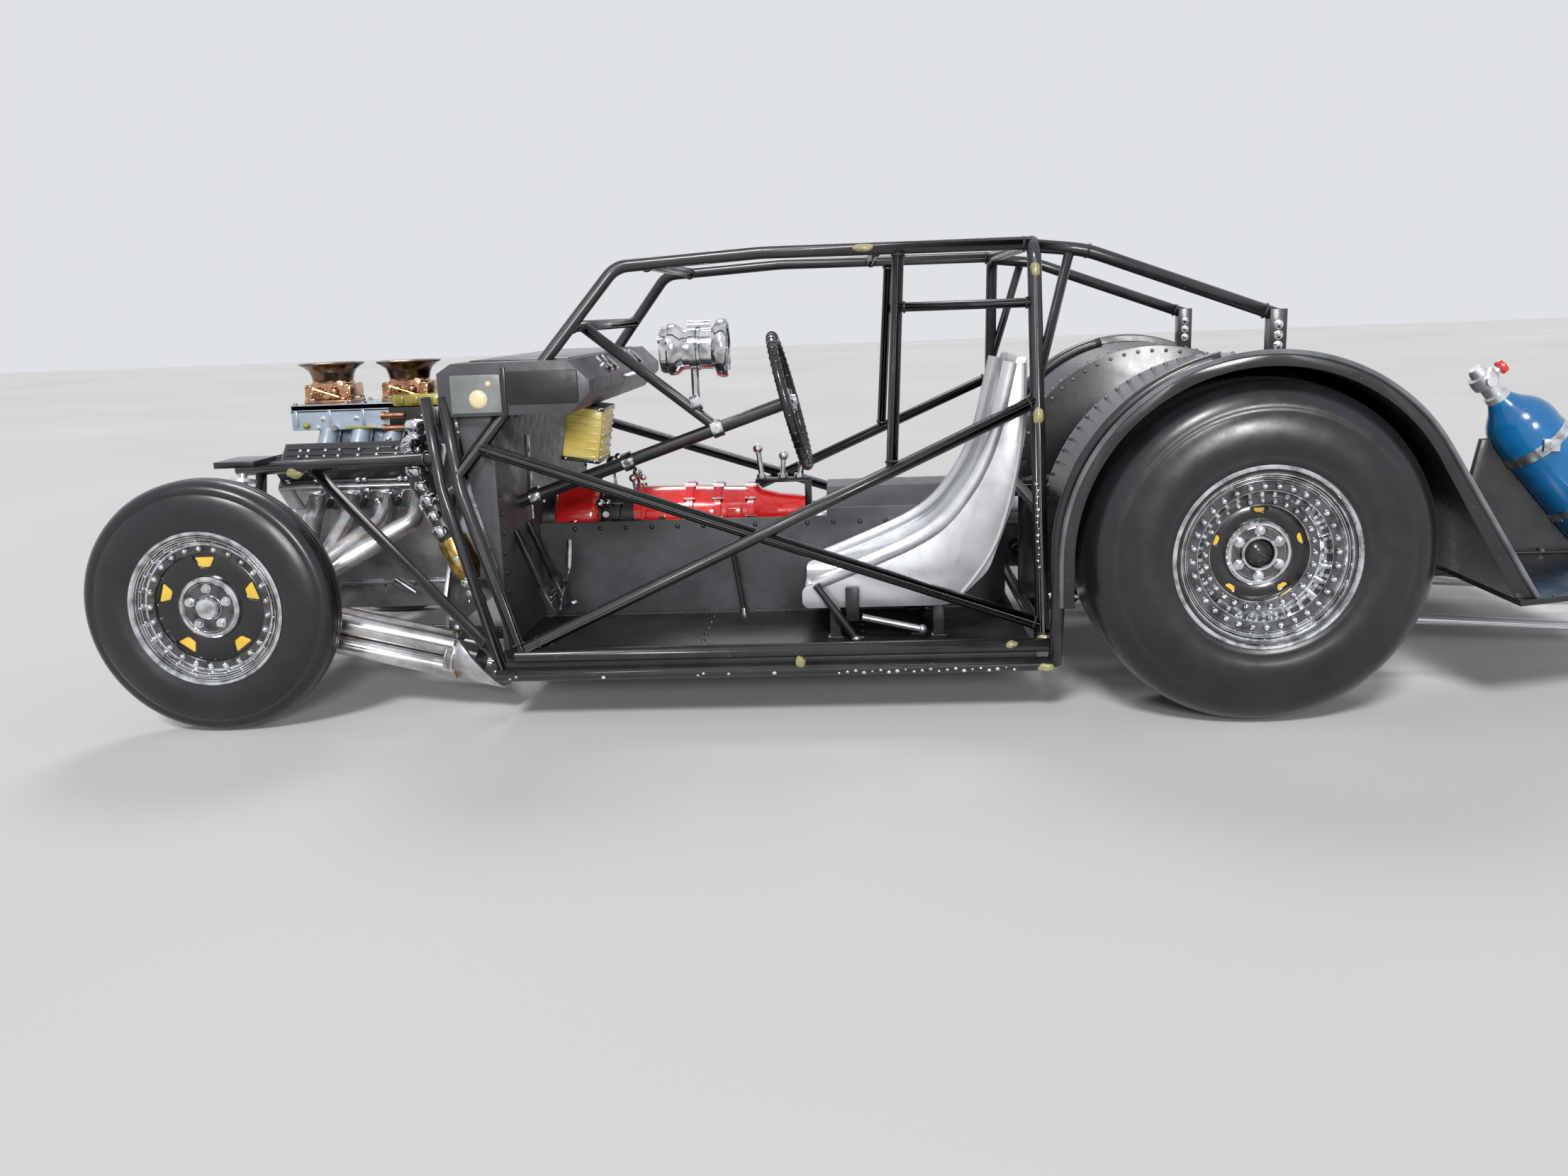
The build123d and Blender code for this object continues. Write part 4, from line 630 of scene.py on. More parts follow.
def rear_wheel(centre):
    """Rear wheel's pieces: slick, deep plated rim, two bolt rings, dark centre, windows, hub, and dark plated
    rings that are painted shade and dark reflection in the rim's recesses.
    """
    disc, panes = pierced_disc(centre, 4.9, 3.3, 4.75, 0.4, (3.9, 4.75, 0.5, 0.95))
    outer = ring_of(dome_head(0.72, 0.5), 32, 7.12 * MM, centre, LEFT, 0.05, 7.25 * MM)
    inner = ring_of(dome_head(0.64, 0.5), 28, 5.42 * MM, centre, LEFT, 0.0, 5.44 * MM)
    slots = ring_of(brick(5.95, 6.4, -0.16, 0.16, 5.9, 6.45), 32, 0.0, centre, LEFT, 0.05)
    # dark plated rings on both bolt ledges, in the lip's grooves and on the hub's face: painted shade and
    # dark reflection
    ledge = joined(
        turned([(7.0, 6.6), (7.1, 7.65), (7.3, 7.65), (7.22, 6.66)], centre, steps=96),
        turned([(5.3, 4.95), (5.3, 5.85), (5.5, 5.85), (5.42, 5.0)], centre, steps=96),
        turned([(7.45, 7.92), (7.45, 8.08), (7.62, 8.06), (7.6, 7.94)], centre, steps=96),
        turned([(7.8, 8.4), (7.8, 8.62), (8.0, 8.6), (7.97, 8.42)], centre, steps=96),
        turned([(4.95, 1.94), (4.95, 2.66), (5.07, 2.66), (5.07, 1.94)], centre, steps=48),
    )
    hub = turned([(4.6, 1.6), (4.6, 3.35), (5.1, 3.3), (5.3, 3.1), (5.3, 2.85), (5.0, 2.7), (5.0, 1.9),
                  (5.35, 1.75), (5.35, 1.5), (5.0, 1.42), (4.6, 1.42)], centre)
    nuts = lug_nuts(centre, 6, 2.3, 5.0)
    return {
        "tyre": (tyre(REAR_TYRE_SIDE, centre), TYRE, "tyre"),
        "rim": (turned(REAR_RIM_OUTLINE, centre, steps=96), CHROME, "rim_chrome"),
        "rim_bolts": (joined(outer, inner, slots), CHROME, "rim_chrome"),
        "dark_centre": (disc, WHEEL_BLACK, "wheelie_black"),
        "amber_windows": (panes, AMBER, "box_yellow"),
        "painted_shade_rings": (ledge, PAINTED_SHADE_PLATING, "rim_chrome"),
        "hub": (joined(hub, nuts), CHROME, "rim_chrome"),
    }


def build_wheels():
    """All four wheels; the right ones are the left ones' mirror images."""
    for end, build, axle in (("front", front_wheel, FRONT_AXLE), ("rear", rear_wheel, REAR_AXLE)):
        for part, (piece, material, slot) in build(axle).items():
            for side, copy in (("right", mirrored(piece)), ("left", piece)):
                wheel = f"{end}_{side}"
                node = (f"{wheel}_{part}",) if part in ("tyre", "rim") else ()
                keep(copy, f"{wheel}_{part}_fine", material, f"{wheel}_wheel", node)
    return {f"{end}_{side}_{part}" for end in ("front", "rear") for side in ("left", "right")
            for part in ("tyre", "rim")}


CRANK_Z = 17.0
DECK_UP, HEAD_UP, COVER_UP = 9.2, 13.5, 15.9
ENGINE_X = 99.9
SEAT_Y = 15.0
HOOP_X = 21.0
PORTS = (5.7, 1.5, -2.7, -6.7)
PLUGS = (3.6, -0.6, -4.7, -8.6)
MANIFOLD_TOP = 33.7
BREATHER_X, BREATHER_Y = 92.3, 11.52
MAGNETO_X = 90.9
PULLEY_X, PUMP_UP = 111.6, 6.4
COLUMN_SLOPE = 0.333
TACHO_X, TACHO_Z, CLAMP_X = 54.4, 39.2, 58.3
FRONT_AXLE_X, FRONT_AXLE_Z = 110.6, 13.9
REAR_AXLE_Z = 17.5
TUB_SIDE_Y = 35.5
DASH_END_Y = 25.5
DIAL_X, DIAL_Z = 69.5, 37.7


def at_bank(piece):
    """Stand a piece, made with Y along the deck outward and Z up the bore, on the left bank, and its twin."""
    piece.data.transform(Matrix.Translation(spot(ENGINE_X, 0, CRANK_Z)) @ Matrix.Rotation(-pi / 4, 4, "X"))
    return with_twin(piece)


def brick(x0, x1, y0, y1, z0, z1, edge=0.0):
    """Block between limits in millimetres about the origin, its edges eased."""
    piece = block((x0 * MM, y0 * MM, z0 * MM), (x1 * MM, y1 * MM, z1 * MM))
    return ease(piece, edge * MM) if edge else piece


def slab(x0, x1, y0, y1, z0, z1, edge=0.0):
    """Block between limits in millimetres ahead of the rear axle, to the left and up, its edges eased."""
    piece = block(spot(x0, y0, z0), spot(x1, y1, z1))
    return ease(piece, edge * MM) if edge else piece


def disc(x, y, z, along, radius, length, sides=24):
    """Short round piece in millimetres, centred on a place."""
    return drum(spot(x, y, z), along, radius * MM, length * MM, sides)


def heads(master, places, along):
    """Copies of a bolt or rivet at places in millimetres, standing along a direction."""
    return studded(master, [place_at(spot(*place), along) for place in places])


def build_heads_and_covers():
    """Cylinder heads with port flanges and plugs, and black valve covers with their bright bolts."""
    head = brick(-10, 10, -3.2, 3.2, DECK_UP, HEAD_UP, 0.25)
    rail = brick(-9.8, 9.8, 2.6, 3.2, HEAD_UP - 0.5, HEAD_UP + 0.08, 0.1)
    bosses = [brick(dx - 1.55, dx + 1.55, 3.1, 3.3, DECK_UP + 0.5, HEAD_UP - 0.7, 0.08) for dx in PORTS]
    webs = [brick(dx - 0.2, dx + 0.2, 3.1, 3.3, DECK_UP + 0.2, HEAD_UP - 0.2)
            for dx in (-4.7, -0.6, 3.6, 8.2)]
    keep(at_bank(joined(head, rail, *bosses, *webs)), "cylinder_heads_fine", ALLOY,
         replaces=("cylinder_heads",))
    plugs = []
    for dx in PORTS:
        for side, up in ((1.28, 10.1), (-1.28, 12.6)):
            plugs.append(stand(bolt_head(0.78, 0.42), Vector((dx + side, 3.28, up)) * MM, LEFT))
    keep(at_bank(joined(*plugs)), "port_bolts", CHROME)

    cover = brick(-9.5, 9.5, -2.3, 2.3, HEAD_UP + 0.3, COVER_UP)
    pick(cover, "EDGE", lambda edge: all(vert.co.z > (COVER_UP - 0.1) * MM for vert in edge.verts))
    bpy.ops.mesh.bevel(offset=0.8 * MM, segments=5)
    bpy.ops.object.mode_set(mode="OBJECT")
    flange = brick(-9.5, 9.5, -2.6, 2.6, HEAD_UP, HEAD_UP + 0.4, 0.12)
    fins = [brick(-8.6, 8.6, dy - 0.14, dy + 0.14, COVER_UP - 0.2, COVER_UP + 0.12, 0.06)
            for dy in (-0.9, 0, 0.9)]
    keep(at_bank(joined(cover, flange, *fins)), "valve_covers_fine", BLACK_FRAME,
         replaces=("valve_covers",))
    bolts = []
    for dx in (-8.6, -5.9, -5.1, -0.8, 0.0, 4.3, 5.1, 8.6):
        for dy in (-2.42, 2.42):
            bolts.append(stand(bolt_head(0.62, 0.42), Vector((dx, dy, HEAD_UP + 0.38)) * MM, UP))
    for dx in (6.9, 5.9, 3.8, 2.1, -0.3, -2.6, -4.9, -7.2):
        for dy in (-0.45, 0.45):
            bolts.append(stand(dome_head(0.6, 0.4), Vector((dx, dy, COVER_UP)) * MM, UP))
    keep(at_bank(joined(*bolts)), "cover_bolts", CHROME)
    plugs, boots = [], []
    for dx in PLUGS:
        plugs.append(drum(Vector((dx, 3.45, 12.1)) * MM, LEFT, 0.5 * MM, 0.5 * MM, 6))
        plugs.append(drum(Vector((dx, 3.95, 12.1)) * MM, LEFT, 0.3 * MM, 0.6 * MM, 12))
        plugs.append(drum(Vector((dx, 3.8, 12.1)) * MM, LEFT, 0.42 * MM, 0.16 * MM, 12))
        boots.append(rod(Vector((dx, 4.2, 12.1)) * MM, Vector((dx - 0.1, 5.1, 12.5)) * MM, 0.4 * MM, 12))
    keep(at_bank(joined(*plugs)), "spark_plugs", CHROME)
    keep(at_bank(joined(*boots)), "plug_boots", WHEEL_BLACK)
    return {"cylinder_heads", "valve_covers"}


def build_manifold():
    """Tunnel intake with a ribbed lid, a dark seam, bolts and side fittings."""
    finish("intake_manifold", PALE_BLUE, 0.18)
    x0, x1, top = 91.7, 110.3, MANIFOLD_TOP
    lid = slab(x0, x1, -4.4, 4.4, top - 0.7, top + 0.02, 0.1)
    ribs = [slab(x0 + 0.8 + step * 4.25, x0 + 1.2 + step * 4.25, 4.3, 4.55, 31.0, 33.0, 0.08)
            for step in range(5)]
    lid = joined(lid, *ribs, *[mirrored(rib) for rib in ribs])
    keep(lid, "manifold_lid", PALE_BLUE)
    seam = slab(x0 - 0.02, x1 + 0.02, -4.43, 4.43, top - 0.86, top - 0.7)
    keep(seam, "manifold_seam", WHEEL_BLACK)
    edge = [(x0 + 0.5 + step * 2.2, side * 4.05, top + 0.02) for step in range(9) for side in (-1, 1)]
    edge = [place for place in edge if abs(place[0] - 106.2) > 2.9 and abs(place[0] - 96.3) > 2.9]
    sides = [(x0 + 1.9 + step * 4.25, 4.4, 32.0) for step in range(4)]
    bolts = heads(bolt_head(0.55, 0.3), edge, UP)
    side_bolts = heads(bolt_head(0.55, 0.3), sides, LEFT)
    plugs = [disc(x, 4.5, 30.95, LEFT, radius, 0.6, 12) for x, radius in ((104.9, 0.45), (107.2, 0.3))]
    keep(joined(bolts, with_twin(joined(side_bolts, *plugs))), "manifold_bolts", CHROME)
    plug = joined(ball((108.5, 4.45, 31.2), 0.5, 0.8, 3), slab(99.6, 103.6, 4.3, 4.62, 30.65, 30.95, 0.08))
    keep(with_twin(plug), "manifold_fittings", OLIVE)
    return {"intake_manifold"}


def carburettor(x):
    """One carburettor: base, body with two bowls, caps and collar, and its flared mouth."""
    z = MANIFOLD_TOP
    base = slab(x - 3.0, x + 3.0, -2.6, 2.6, z, z + 0.45, 0.12)
    body = slab(x - 2.1, x + 2.1, -2.1, 2.1, z + 0.4, z + 2.9, 0.4)
    bowls = [slab(x - 3.0, x - 1.7, -2.3, 2.3, z + 0.7, z + 2.4, 0.3),
             slab(x + 1.7, x + 3.0, -2.3, 2.3, z + 0.7, z + 2.4, 0.3)]
    lumps = [ball((x + dx, side * 2.15, z + 1.5), 0.62) for dx in (-0.9, 0.9) for side in (-1, 1)]
    caps = [disc(x + dx, side * 2.4, z + 1.0, LEFT, 0.4, 0.5, 12)
            for dx in (-2.3, 0, 2.3) for side in (-1, 1)]
    collar = disc(x, 0, z + 3.0, UP, 2.35, 0.7, 32)
    outline = [(2.6, 2.3), (2.9, 2.5), (3.5, 2.62), (4.1, 2.9), (4.55, 3.5), (4.78, 3.95), (4.9, 4.0),
               (5.0, 3.9), (4.95, 3.6), (4.7, 3.1), (4.2, 2.5), (3.5, 2.15), (2.8, 2.0), (2.6, 2.0)]
    horn = turned(outline, spot(x, 0, z), UP, 48)
    return joined(base, body, *bowls, *lumps, *caps, collar), horn


def build_carburettors():
    """Two copper carburettors with black discs in their throats as painted shade and a black bar across each,
    screws and levers, the fuel block and a black panel over the manifold's rear end.
    """
    low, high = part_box("carburettors")
    reach = (high.x - low.x) / MM
    mid = (middle("carburettors").x - REAR_AXLE.x) / MM
    spacing = (reach - 8.0) / 2
    bodies, horns, throat_shade, trims = [], [], [], []
    for side in (1, -1):
        x = mid + side * spacing
        body, horn = carburettor(x)
        bodies.append(body)
        horns.append(horn)
        # a black disc deep in each throat: painted shade; the bar across it is black
        throat_shade.append(disc(x, 0, 36.4, UP, 2.05, 0.3))
        throat_shade.append(bar((x, -2.05, 36.6), (x, 2.05, 36.6), 0.14, 8))
        for dx in (-1.0, 1.0):
            trims.append(disc(x + dx, 0, 36.75, UP, 0.75, 0.5, 16))
        screws = [(x + dx, 2.3, MANIFOLD_TOP + dz) for dx in (-2.7, -2.0, 2.0, 2.7) for dz in (0.95, 2.15)]
        trims.append(with_twin(heads(dome_head(0.36, 0.2), screws, LEFT)))
        corners = [(x + dx, dy, 34.15) for dx in (-2.7, 2.7) for dy in (-2.3, 2.3)]
        trims.append(heads(bolt_head(0.5, 0.3), corners, UP))
        trims.append(bar((x - 1.6, 2.75, 34.5), (x + 1.6, 2.75, 35.6), 0.14, 8))
    keep(joined(*bodies), "carburettors_fine", COPPER, replaces=("carburettors",))
    keep(joined(*horns), "carburettor_mouths", DARK_COPPER)
    keep(joined(*throat_shade), "carburettor_throat_shade", WHEEL_BLACK)
    keep(joined(*trims), "carburettor_screws", GOLD)
    rear_end = (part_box("intake_manifold")[0].x - REAR_AXLE.x) / MM
    fuel = slab(rear_end - 0.4, rear_end + 5.6, 3.0, 4.9, 33.2, 34.7, 0.35)
    for start in (rear_end + 0.4 + step * 1.8 for step in range(3)):
        fuel = joined(slab(start, start + 1.0, 4.7, 5.15, 33.5, 34.5, 0.15), fuel)
    keep(fuel, "fuel_block", OLIVE)
    # black panel over the manifold's rear end
    panel = slab(rear_end - 0.1, rear_end + 6.2, -4.6, 4.6, 30.5, 33.15, 0.12)
    keep(panel, "manifold_rear_black_panel", WHEEL_BLACK)
    bars = [bar((95.9, 4.7, z), (98.5, 4.7, z), 0.42) for z in (32.15, 30.6)]
    ends = [disc(98.5, 4.7, z, AHEAD, 0.55, 0.5, 12) for z in (32.15, 30.6)]
    keep(joined(*bars, *ends), "fuel_bars", COPPER)
    return {"carburettors"}


def build_breathers():
    """Plated three-ring breathers on the covers, and the magneto behind the manifold."""
    outline = [
        (0, 0.02), (0, 1.3), (0.25, 1.36), (0.5, 1.3), (0.9, 1.3), (1.15, 1.2), (1.2, 0.95), (1.5, 0.95),
        (1.55, 1.2), (1.75, 1.3), (2.15, 1.3), (2.35, 1.2), (2.4, 0.95), (2.7, 0.95), (2.75, 1.2),
        (2.95, 1.3), (3.6, 1.3), (3.95, 1.15), (4.15, 0.8), (4.2, 0.02),
    ]
    stack = turned(outline, spot(BREATHER_X, BREATHER_Y, 27.96), UP, 32)
    neck = disc(BREATHER_X, BREATHER_Y, 27.8, UP, 1.0, 1.2)
    keep(with_twin(joined(stack, neck)), "breathers", CHROME,
         replaces=("breathers_and_magneto",))
    outline = [(0, 0.02), (0, 1.1), (1.8, 1.1), (2.0, 1.45), (4.6, 1.5), (4.9, 1.3), (5.0, 1.5), (6.6, 1.5),
               (7.2, 1.1), (7.5, 0.4), (7.5, 0.02)]
    magneto = turned(outline, spot(MAGNETO_X, 0, 22.1), UP, 32)
    towers = ring_of(drum((0, 0, 0.4 * MM), UP, 0.2 * MM, 0.8 * MM, 8), 8, 0.9 * MM, spot(MAGNETO_X, 0, 28.9),
                     UP)
    keep(joined(magneto, towers), "magneto", WHEEL_BLACK)
    return {"breathers_and_magneto"}


def build_belt_drive():
    """Crank and pump pulleys with a plain belt round them, and black discs in the pulley's holes as painted
    shade.
    """
    def wheel(z, radius, face):
        outline = [(-1.9, 0.02), (-1.9, radius), (-1.7, radius + 0.25), (-1.5, radius), (-0.2, radius),
                   (0.0, radius + 0.25), (0.2, radius), (0.25, radius * 0.75), (0.0, radius * 0.7),
                   (0.0, radius * 0.35), (face, radius * 0.3), (face, 0.02)]
        return turned(outline, spot(PULLEY_X, 0, z), AHEAD, 48)
    # black discs where the pulley's holes are: painted shade
    hole_shade_discs = ring_of(drum((0, 0, 0), UP, 0.3 * MM, 0.2 * MM, 12), 5, 1.45 * MM, spot(PULLEY_X, 0, CRANK_Z),
                    AHEAD)
    bolt = stand(bolt_head(0.9, 0.3), spot(111.8, 0, CRANK_Z), AHEAD)
    keep(joined(wheel(CRANK_Z, 2.7, 0.4), wheel(CRANK_Z + PUMP_UP, 1.65, 0.4), bolt), "pulleys", CHROME,
         replaces=("belt_drive",))
    keep(hole_shade_discs, "pulley_hole_shade", WHEEL_BLACK)
    clear()
    bpy.ops.mesh.primitive_circle_add(vertices=64, radius=2.95 * MM, fill_type="NGON")
    belt = bpy.context.object
    pick(belt, "VERT", lambda vert: vert.co.y > MERGE)
    bpy.ops.transform.resize(value=(0.64, 0.64, 1.0), center_override=(0.0, 0.0, 0.0))
    bpy.ops.transform.translate(value=(0.0, PUMP_UP * MM, 0.0))
    pick(belt, "FACE")
    bpy.ops.mesh.inset(thickness=0.3 * MM)
    bpy.ops.mesh.delete(type="FACE")
    bpy.ops.object.mode_set(mode="OBJECT")
    modify(belt, "SOLIDIFY", thickness=1.1 * MM, offset=0.0)
    outward(belt)
    belt.data.transform(Matrix.Translation(spot(110.85, 0, CRANK_Z)) @ Matrix(((0, 0, 1, 0), (1, 0, 0, 0),
                                                                             (0, 1, 0, 0), (0, 0, 0, 1))))
    keep(belt, "drive_belt", TYRE)
    return {"belt_drive"}


def build_seat():
    """Silver bucket seat with rolled edges, a back bead and black slabs in the belt slots as painted shade,
    its dark brackets and its slide.
    """
    finish("seat", SILVER, 0.22)
    roll = [(2.6, 36.9), (3.4, 33.4), (4.4, 28.8), (6.6, 23.9), (10.6, 18.9), (18.4, 15.5), (24.4, 13.2)]
    rolls = []
    for y in (SEAT_Y + 7.75, SEAT_Y - 7.75):
        piece = pipe([spot(HOOP_X + dx, y, z) for dx, z in roll], 0.85 * MM, 16)
        pick(piece, "VERT")
        bpy.ops.transform.resize(value=(1.0, 0.62, 1.0), center_override=spot(0, y, 0))
        bpy.ops.object.mode_set(mode="OBJECT")
        rolls.append(piece)
    bead = [(1.25, 36.8), (1.15, 30.0), (2.6, 21.8), (4.9, 15.2), (8.6, 11.2)]
    for y in (SEAT_Y + 7.9, SEAT_Y - 7.9):
        rolls.append(pipe([spot(HOOP_X + dx, y, z) for dx, z in bead], 0.28 * MM, 8))
    keep(joined(*rolls), "seat_rolls", SILVER)
    # black slabs where the belt slots are: painted shade
    slots = [slab(HOOP_X + 1.5, HOOP_X + 1.75, SEAT_Y + dy - 1.0, SEAT_Y + dy + 1.0, 33.6, 34.3, 0.05)
             for dy in (-3.2, 3.2)]
    keep(joined(*slots), "belt_slot_shade", WHEEL_BLACK)
    feet = [(x, y, 7.1) for x in (31.5, 43.0) for y in (8.4, 21.6)]
    plates = [slab(x - 0.9, x + 0.9, y - 0.9, y + 0.9, 6.9, 7.15, 0.06) for x, y, z in feet]
    sleeves = [slab(x - 0.62, x + 0.62, y - 0.62, y + 0.62, 7.1, 10.4, 0.08) for x, y, z in feet]
    strut = bar((45.0, 23.9, 13.4), (40.7, 23.9, 7.2), 0.42, 12)
    clip = slab(40.3, 41.8, 23.0, 23.9, 9.2, 13.0, 0.15)
    keep(joined(*plates, *sleeves, strut, clip), "seat_brackets", SATIN_BLACK)
    slide = bar((40.0, 23.6, 9.6), (33.4, 23.6, 8.1), 0.4, 12)
    keep(joined(slide, ball((33.4, 23.6, 8.1), 0.55), ball((40.7, 23.9, 7.3), 0.6, 0.6)),
         "seat_slide", ALLOY)
    keep(heads(bolt_head(0.55, 0.3), [(x + 0.6, y + 0.6, z) for x, y, z in feet], UP),
         "seat_bolts", CHROME)
    return {"seat"}


def build_steering():
    """Steering wheel with a ribbed grip, spokes with matte black discs in their holes as painted shade and a
    bolted hub, and the column with its joints.
    """
    low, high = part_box("steering_wheel")
    hub = (low + high) / 2
    face = Vector((-1.0, 0.0, 0.25)).normalized()
    reach, wraps = 7.5, []
    grip = hoop(reach, 0.56, 96, 16)
    for number in range(48):
        turn = tau * number / 48
        place = (reach * MM * cos(turn), reach * MM * sin(turn), 0.0)
        wraps.append(hoop(0.57, 0.06, 14, 6, place, (pi / 2, 0.0, turn)))
    keep(stand(joined(grip, *wraps), hub, face), "steering_wheel_fine", WHEEL_BLACK,
         replaces=("steering_wheel",))
    spokes = []
    # matte black discs where the spokes' holes are: painted shade
    hole_shade_discs = []
    for turn in (pi, 0.0, -pi / 2):
        spin = Matrix.Rotation(turn, 4, "Z")
        spoke = brick(1.0, 7.3, -0.65, 0.65, -0.4, 0.0, 0.1)
        spoke.data.transform(spin)
        spokes.append(spoke)
        for reach in (2.4, 3.9, 5.4):
            hole_shade_disc = drum((reach * MM, 0, 0), UP, 0.32 * MM, 0.46 * MM, 16)
            hole_shade_disc.data.transform(Matrix.Translation((0, 0, -0.2 * MM)))
            hole_shade_disc.data.transform(spin)
            hole_shade_discs.append(hole_shade_disc)
    keep(stand(joined(*spokes), hub, face), "steering_spokes", BLACK_FRAME)
    keep(stand(joined(*hole_shade_discs), hub, face), "spoke_hole_shade", SATIN_BLACK)
    outline = [
        (-0.9, 0.02), (-0.9, 0.9), (-0.4, 1.5), (0.1, 1.5), (0.25, 1.3), (0.3, 0.7), (0.75, 0.6),
        (0.8, 0.02),
    ]
    boss = turned(outline, hub, face, 32)
    bolts = ring_of(bolt_head(0.4, 0.22), 6, 1.05 * MM, hub, face, 0.0, 0.22 * MM)
    keep(joined(boss, bolts), "steering_hub", CHROME)

    keep(dressed("steering_column"), "steering_column_fine", BLACK_FRAME, turn=None)
    run = Vector((-1.0, 0.0, COLUMN_SLOPE)).normalized()
    joints = []
    for x in (56.0, 66.5, 77.6):
        z = 33.0 - (x - 47.6) * COLUMN_SLOPE
        joints.append(disc(x, SEAT_Y, z, run, 1.05, 1.3))
        joints.append(disc(x, SEAT_Y, z, LEFT, 0.4, 2.5, 12))
    keep(joined(*joints), "column_joints", CHROME)
    return {"steering_wheel", "steering_column"}


def build_tachometer():
    """Plated tachometer with a bell bezel, a ringed body, a blank dial with ticks and its clamp."""
    x, z = TACHO_X, TACHO_Z
    outline = [
        (0.35, 0.02), (0.35, 2.5), (0.1, 2.75), (0.0, 3.1), (0.25, 3.28), (0.8, 3.3), (1.25, 3.1),
        (1.5, 2.6), (1.75, 2.3), (3.0, 2.25), (3.1, 2.4), (3.4, 2.4), (3.5, 2.25), (4.9, 2.25),
        (5.2, 2.4), (5.7, 2.8), (6.1, 2.9), (6.6, 2.9), (6.8, 2.7), (7.4, 2.6), (7.6, 2.3), (7.6, 0.02),
    ]
    body = turned(outline, spot(x, SEAT_Y, z), AHEAD, 64)
    nubs = [disc(x + 6.9, SEAT_Y + dy, z + dz, AHEAD, 0.4, 1.6, 12)
            for dy, dz in ((1.9, 1.2), (-1.9, 1.2), (0, -2))]
    clamp = disc(CLAMP_X, SEAT_Y, z, AHEAD, 2.45, 0.8, 48)
    foot = bar((CLAMP_X, SEAT_Y, z - 2.2), (CLAMP_X, SEAT_Y, 33.4), 0.45)
    ring = disc(CLAMP_X, SEAT_Y, 33.2, (-1, 0, COLUMN_SLOPE), 0.95, 1.1)
    warning_lamp = disc(57.6, SEAT_Y, z + 2.6, AHEAD, 0.55, 2.6, 16)
    keep(joined(body, *nubs, clamp, foot, ring, warning_lamp), "tachometer_fine", CHROME,
         replaces=("tachometer",))
    dial = disc(x + 0.3, SEAT_Y, z, AHEAD, 2.5, 0.12, 48)
    keep(dial, "tachometer_dial", WHEEL_BLACK)
    tick = brick(1.9, 2.35, -0.07, 0.07, 0, 0.06)
    ticks = ring_of(tick, 18, 0.0, spot(x + 0.24, SEAT_Y, z), (-1, 0, 0), 0.2)
    needle = stand(brick(-0.4, 1.9, -0.09, 0.09, 0.05, 0.12), spot(x + 0.24, SEAT_Y, z), (-1, 0, 0), 0.9)
    hub = disc(x + 0.15, SEAT_Y, z, AHEAD, 0.3, 0.2, 16)
    keep(joined(ticks, needle, hub), "tachometer_ticks", SILVER)
    return {"tachometer"}


def build_ignition_box():
    """Yellow ignition box with cooling ribs, end caps and screws."""
    lean = Matrix.Translation(spot(72.0, 10.0, 29.9)) @ Matrix.Rotation(radians(-9.0), 4, "Y")

    def leaning(piece):
        piece.data.transform(lean)
        return piece

    case = brick(-2.2, 2.2, -3.5, 3.5, -3.2, 3.2, 0.35)
    ribs = [brick(-1.9, 1.9, 3.3, 3.62, -2.7 + step * 0.9, -2.4 + step * 0.9, 0.08) for step in range(7)]
    backs = [brick(-2.42, -2.1, -3.0, 3.0, -2.7 + step * 0.9, -2.4 + step * 0.9, 0.08) for step in range(7)]
    keep(leaning(joined(case, *ribs, *backs)), "ignition_box_fine", YELLOW,
         replaces=("ignition_box",))
    caps = [brick(-2.3, 2.3, -3.6, 3.6, low, low + 0.5, 0.12) for low in (-3.3, 2.8)]
    keep(leaning(joined(*caps)), "ignition_caps", WHEEL_BLACK)
    screws = []
    for dx in (-1.7, 1.7):
        for dz in (-3.05, 3.05):
            screws.append(stand(dome_head(0.5, 0.25), Vector((dx, 3.6, dz)) * MM, LEFT))
    keep(leaning(joined(*screws)), "ignition_screws", CHROME)
    return {"ignition_box"}


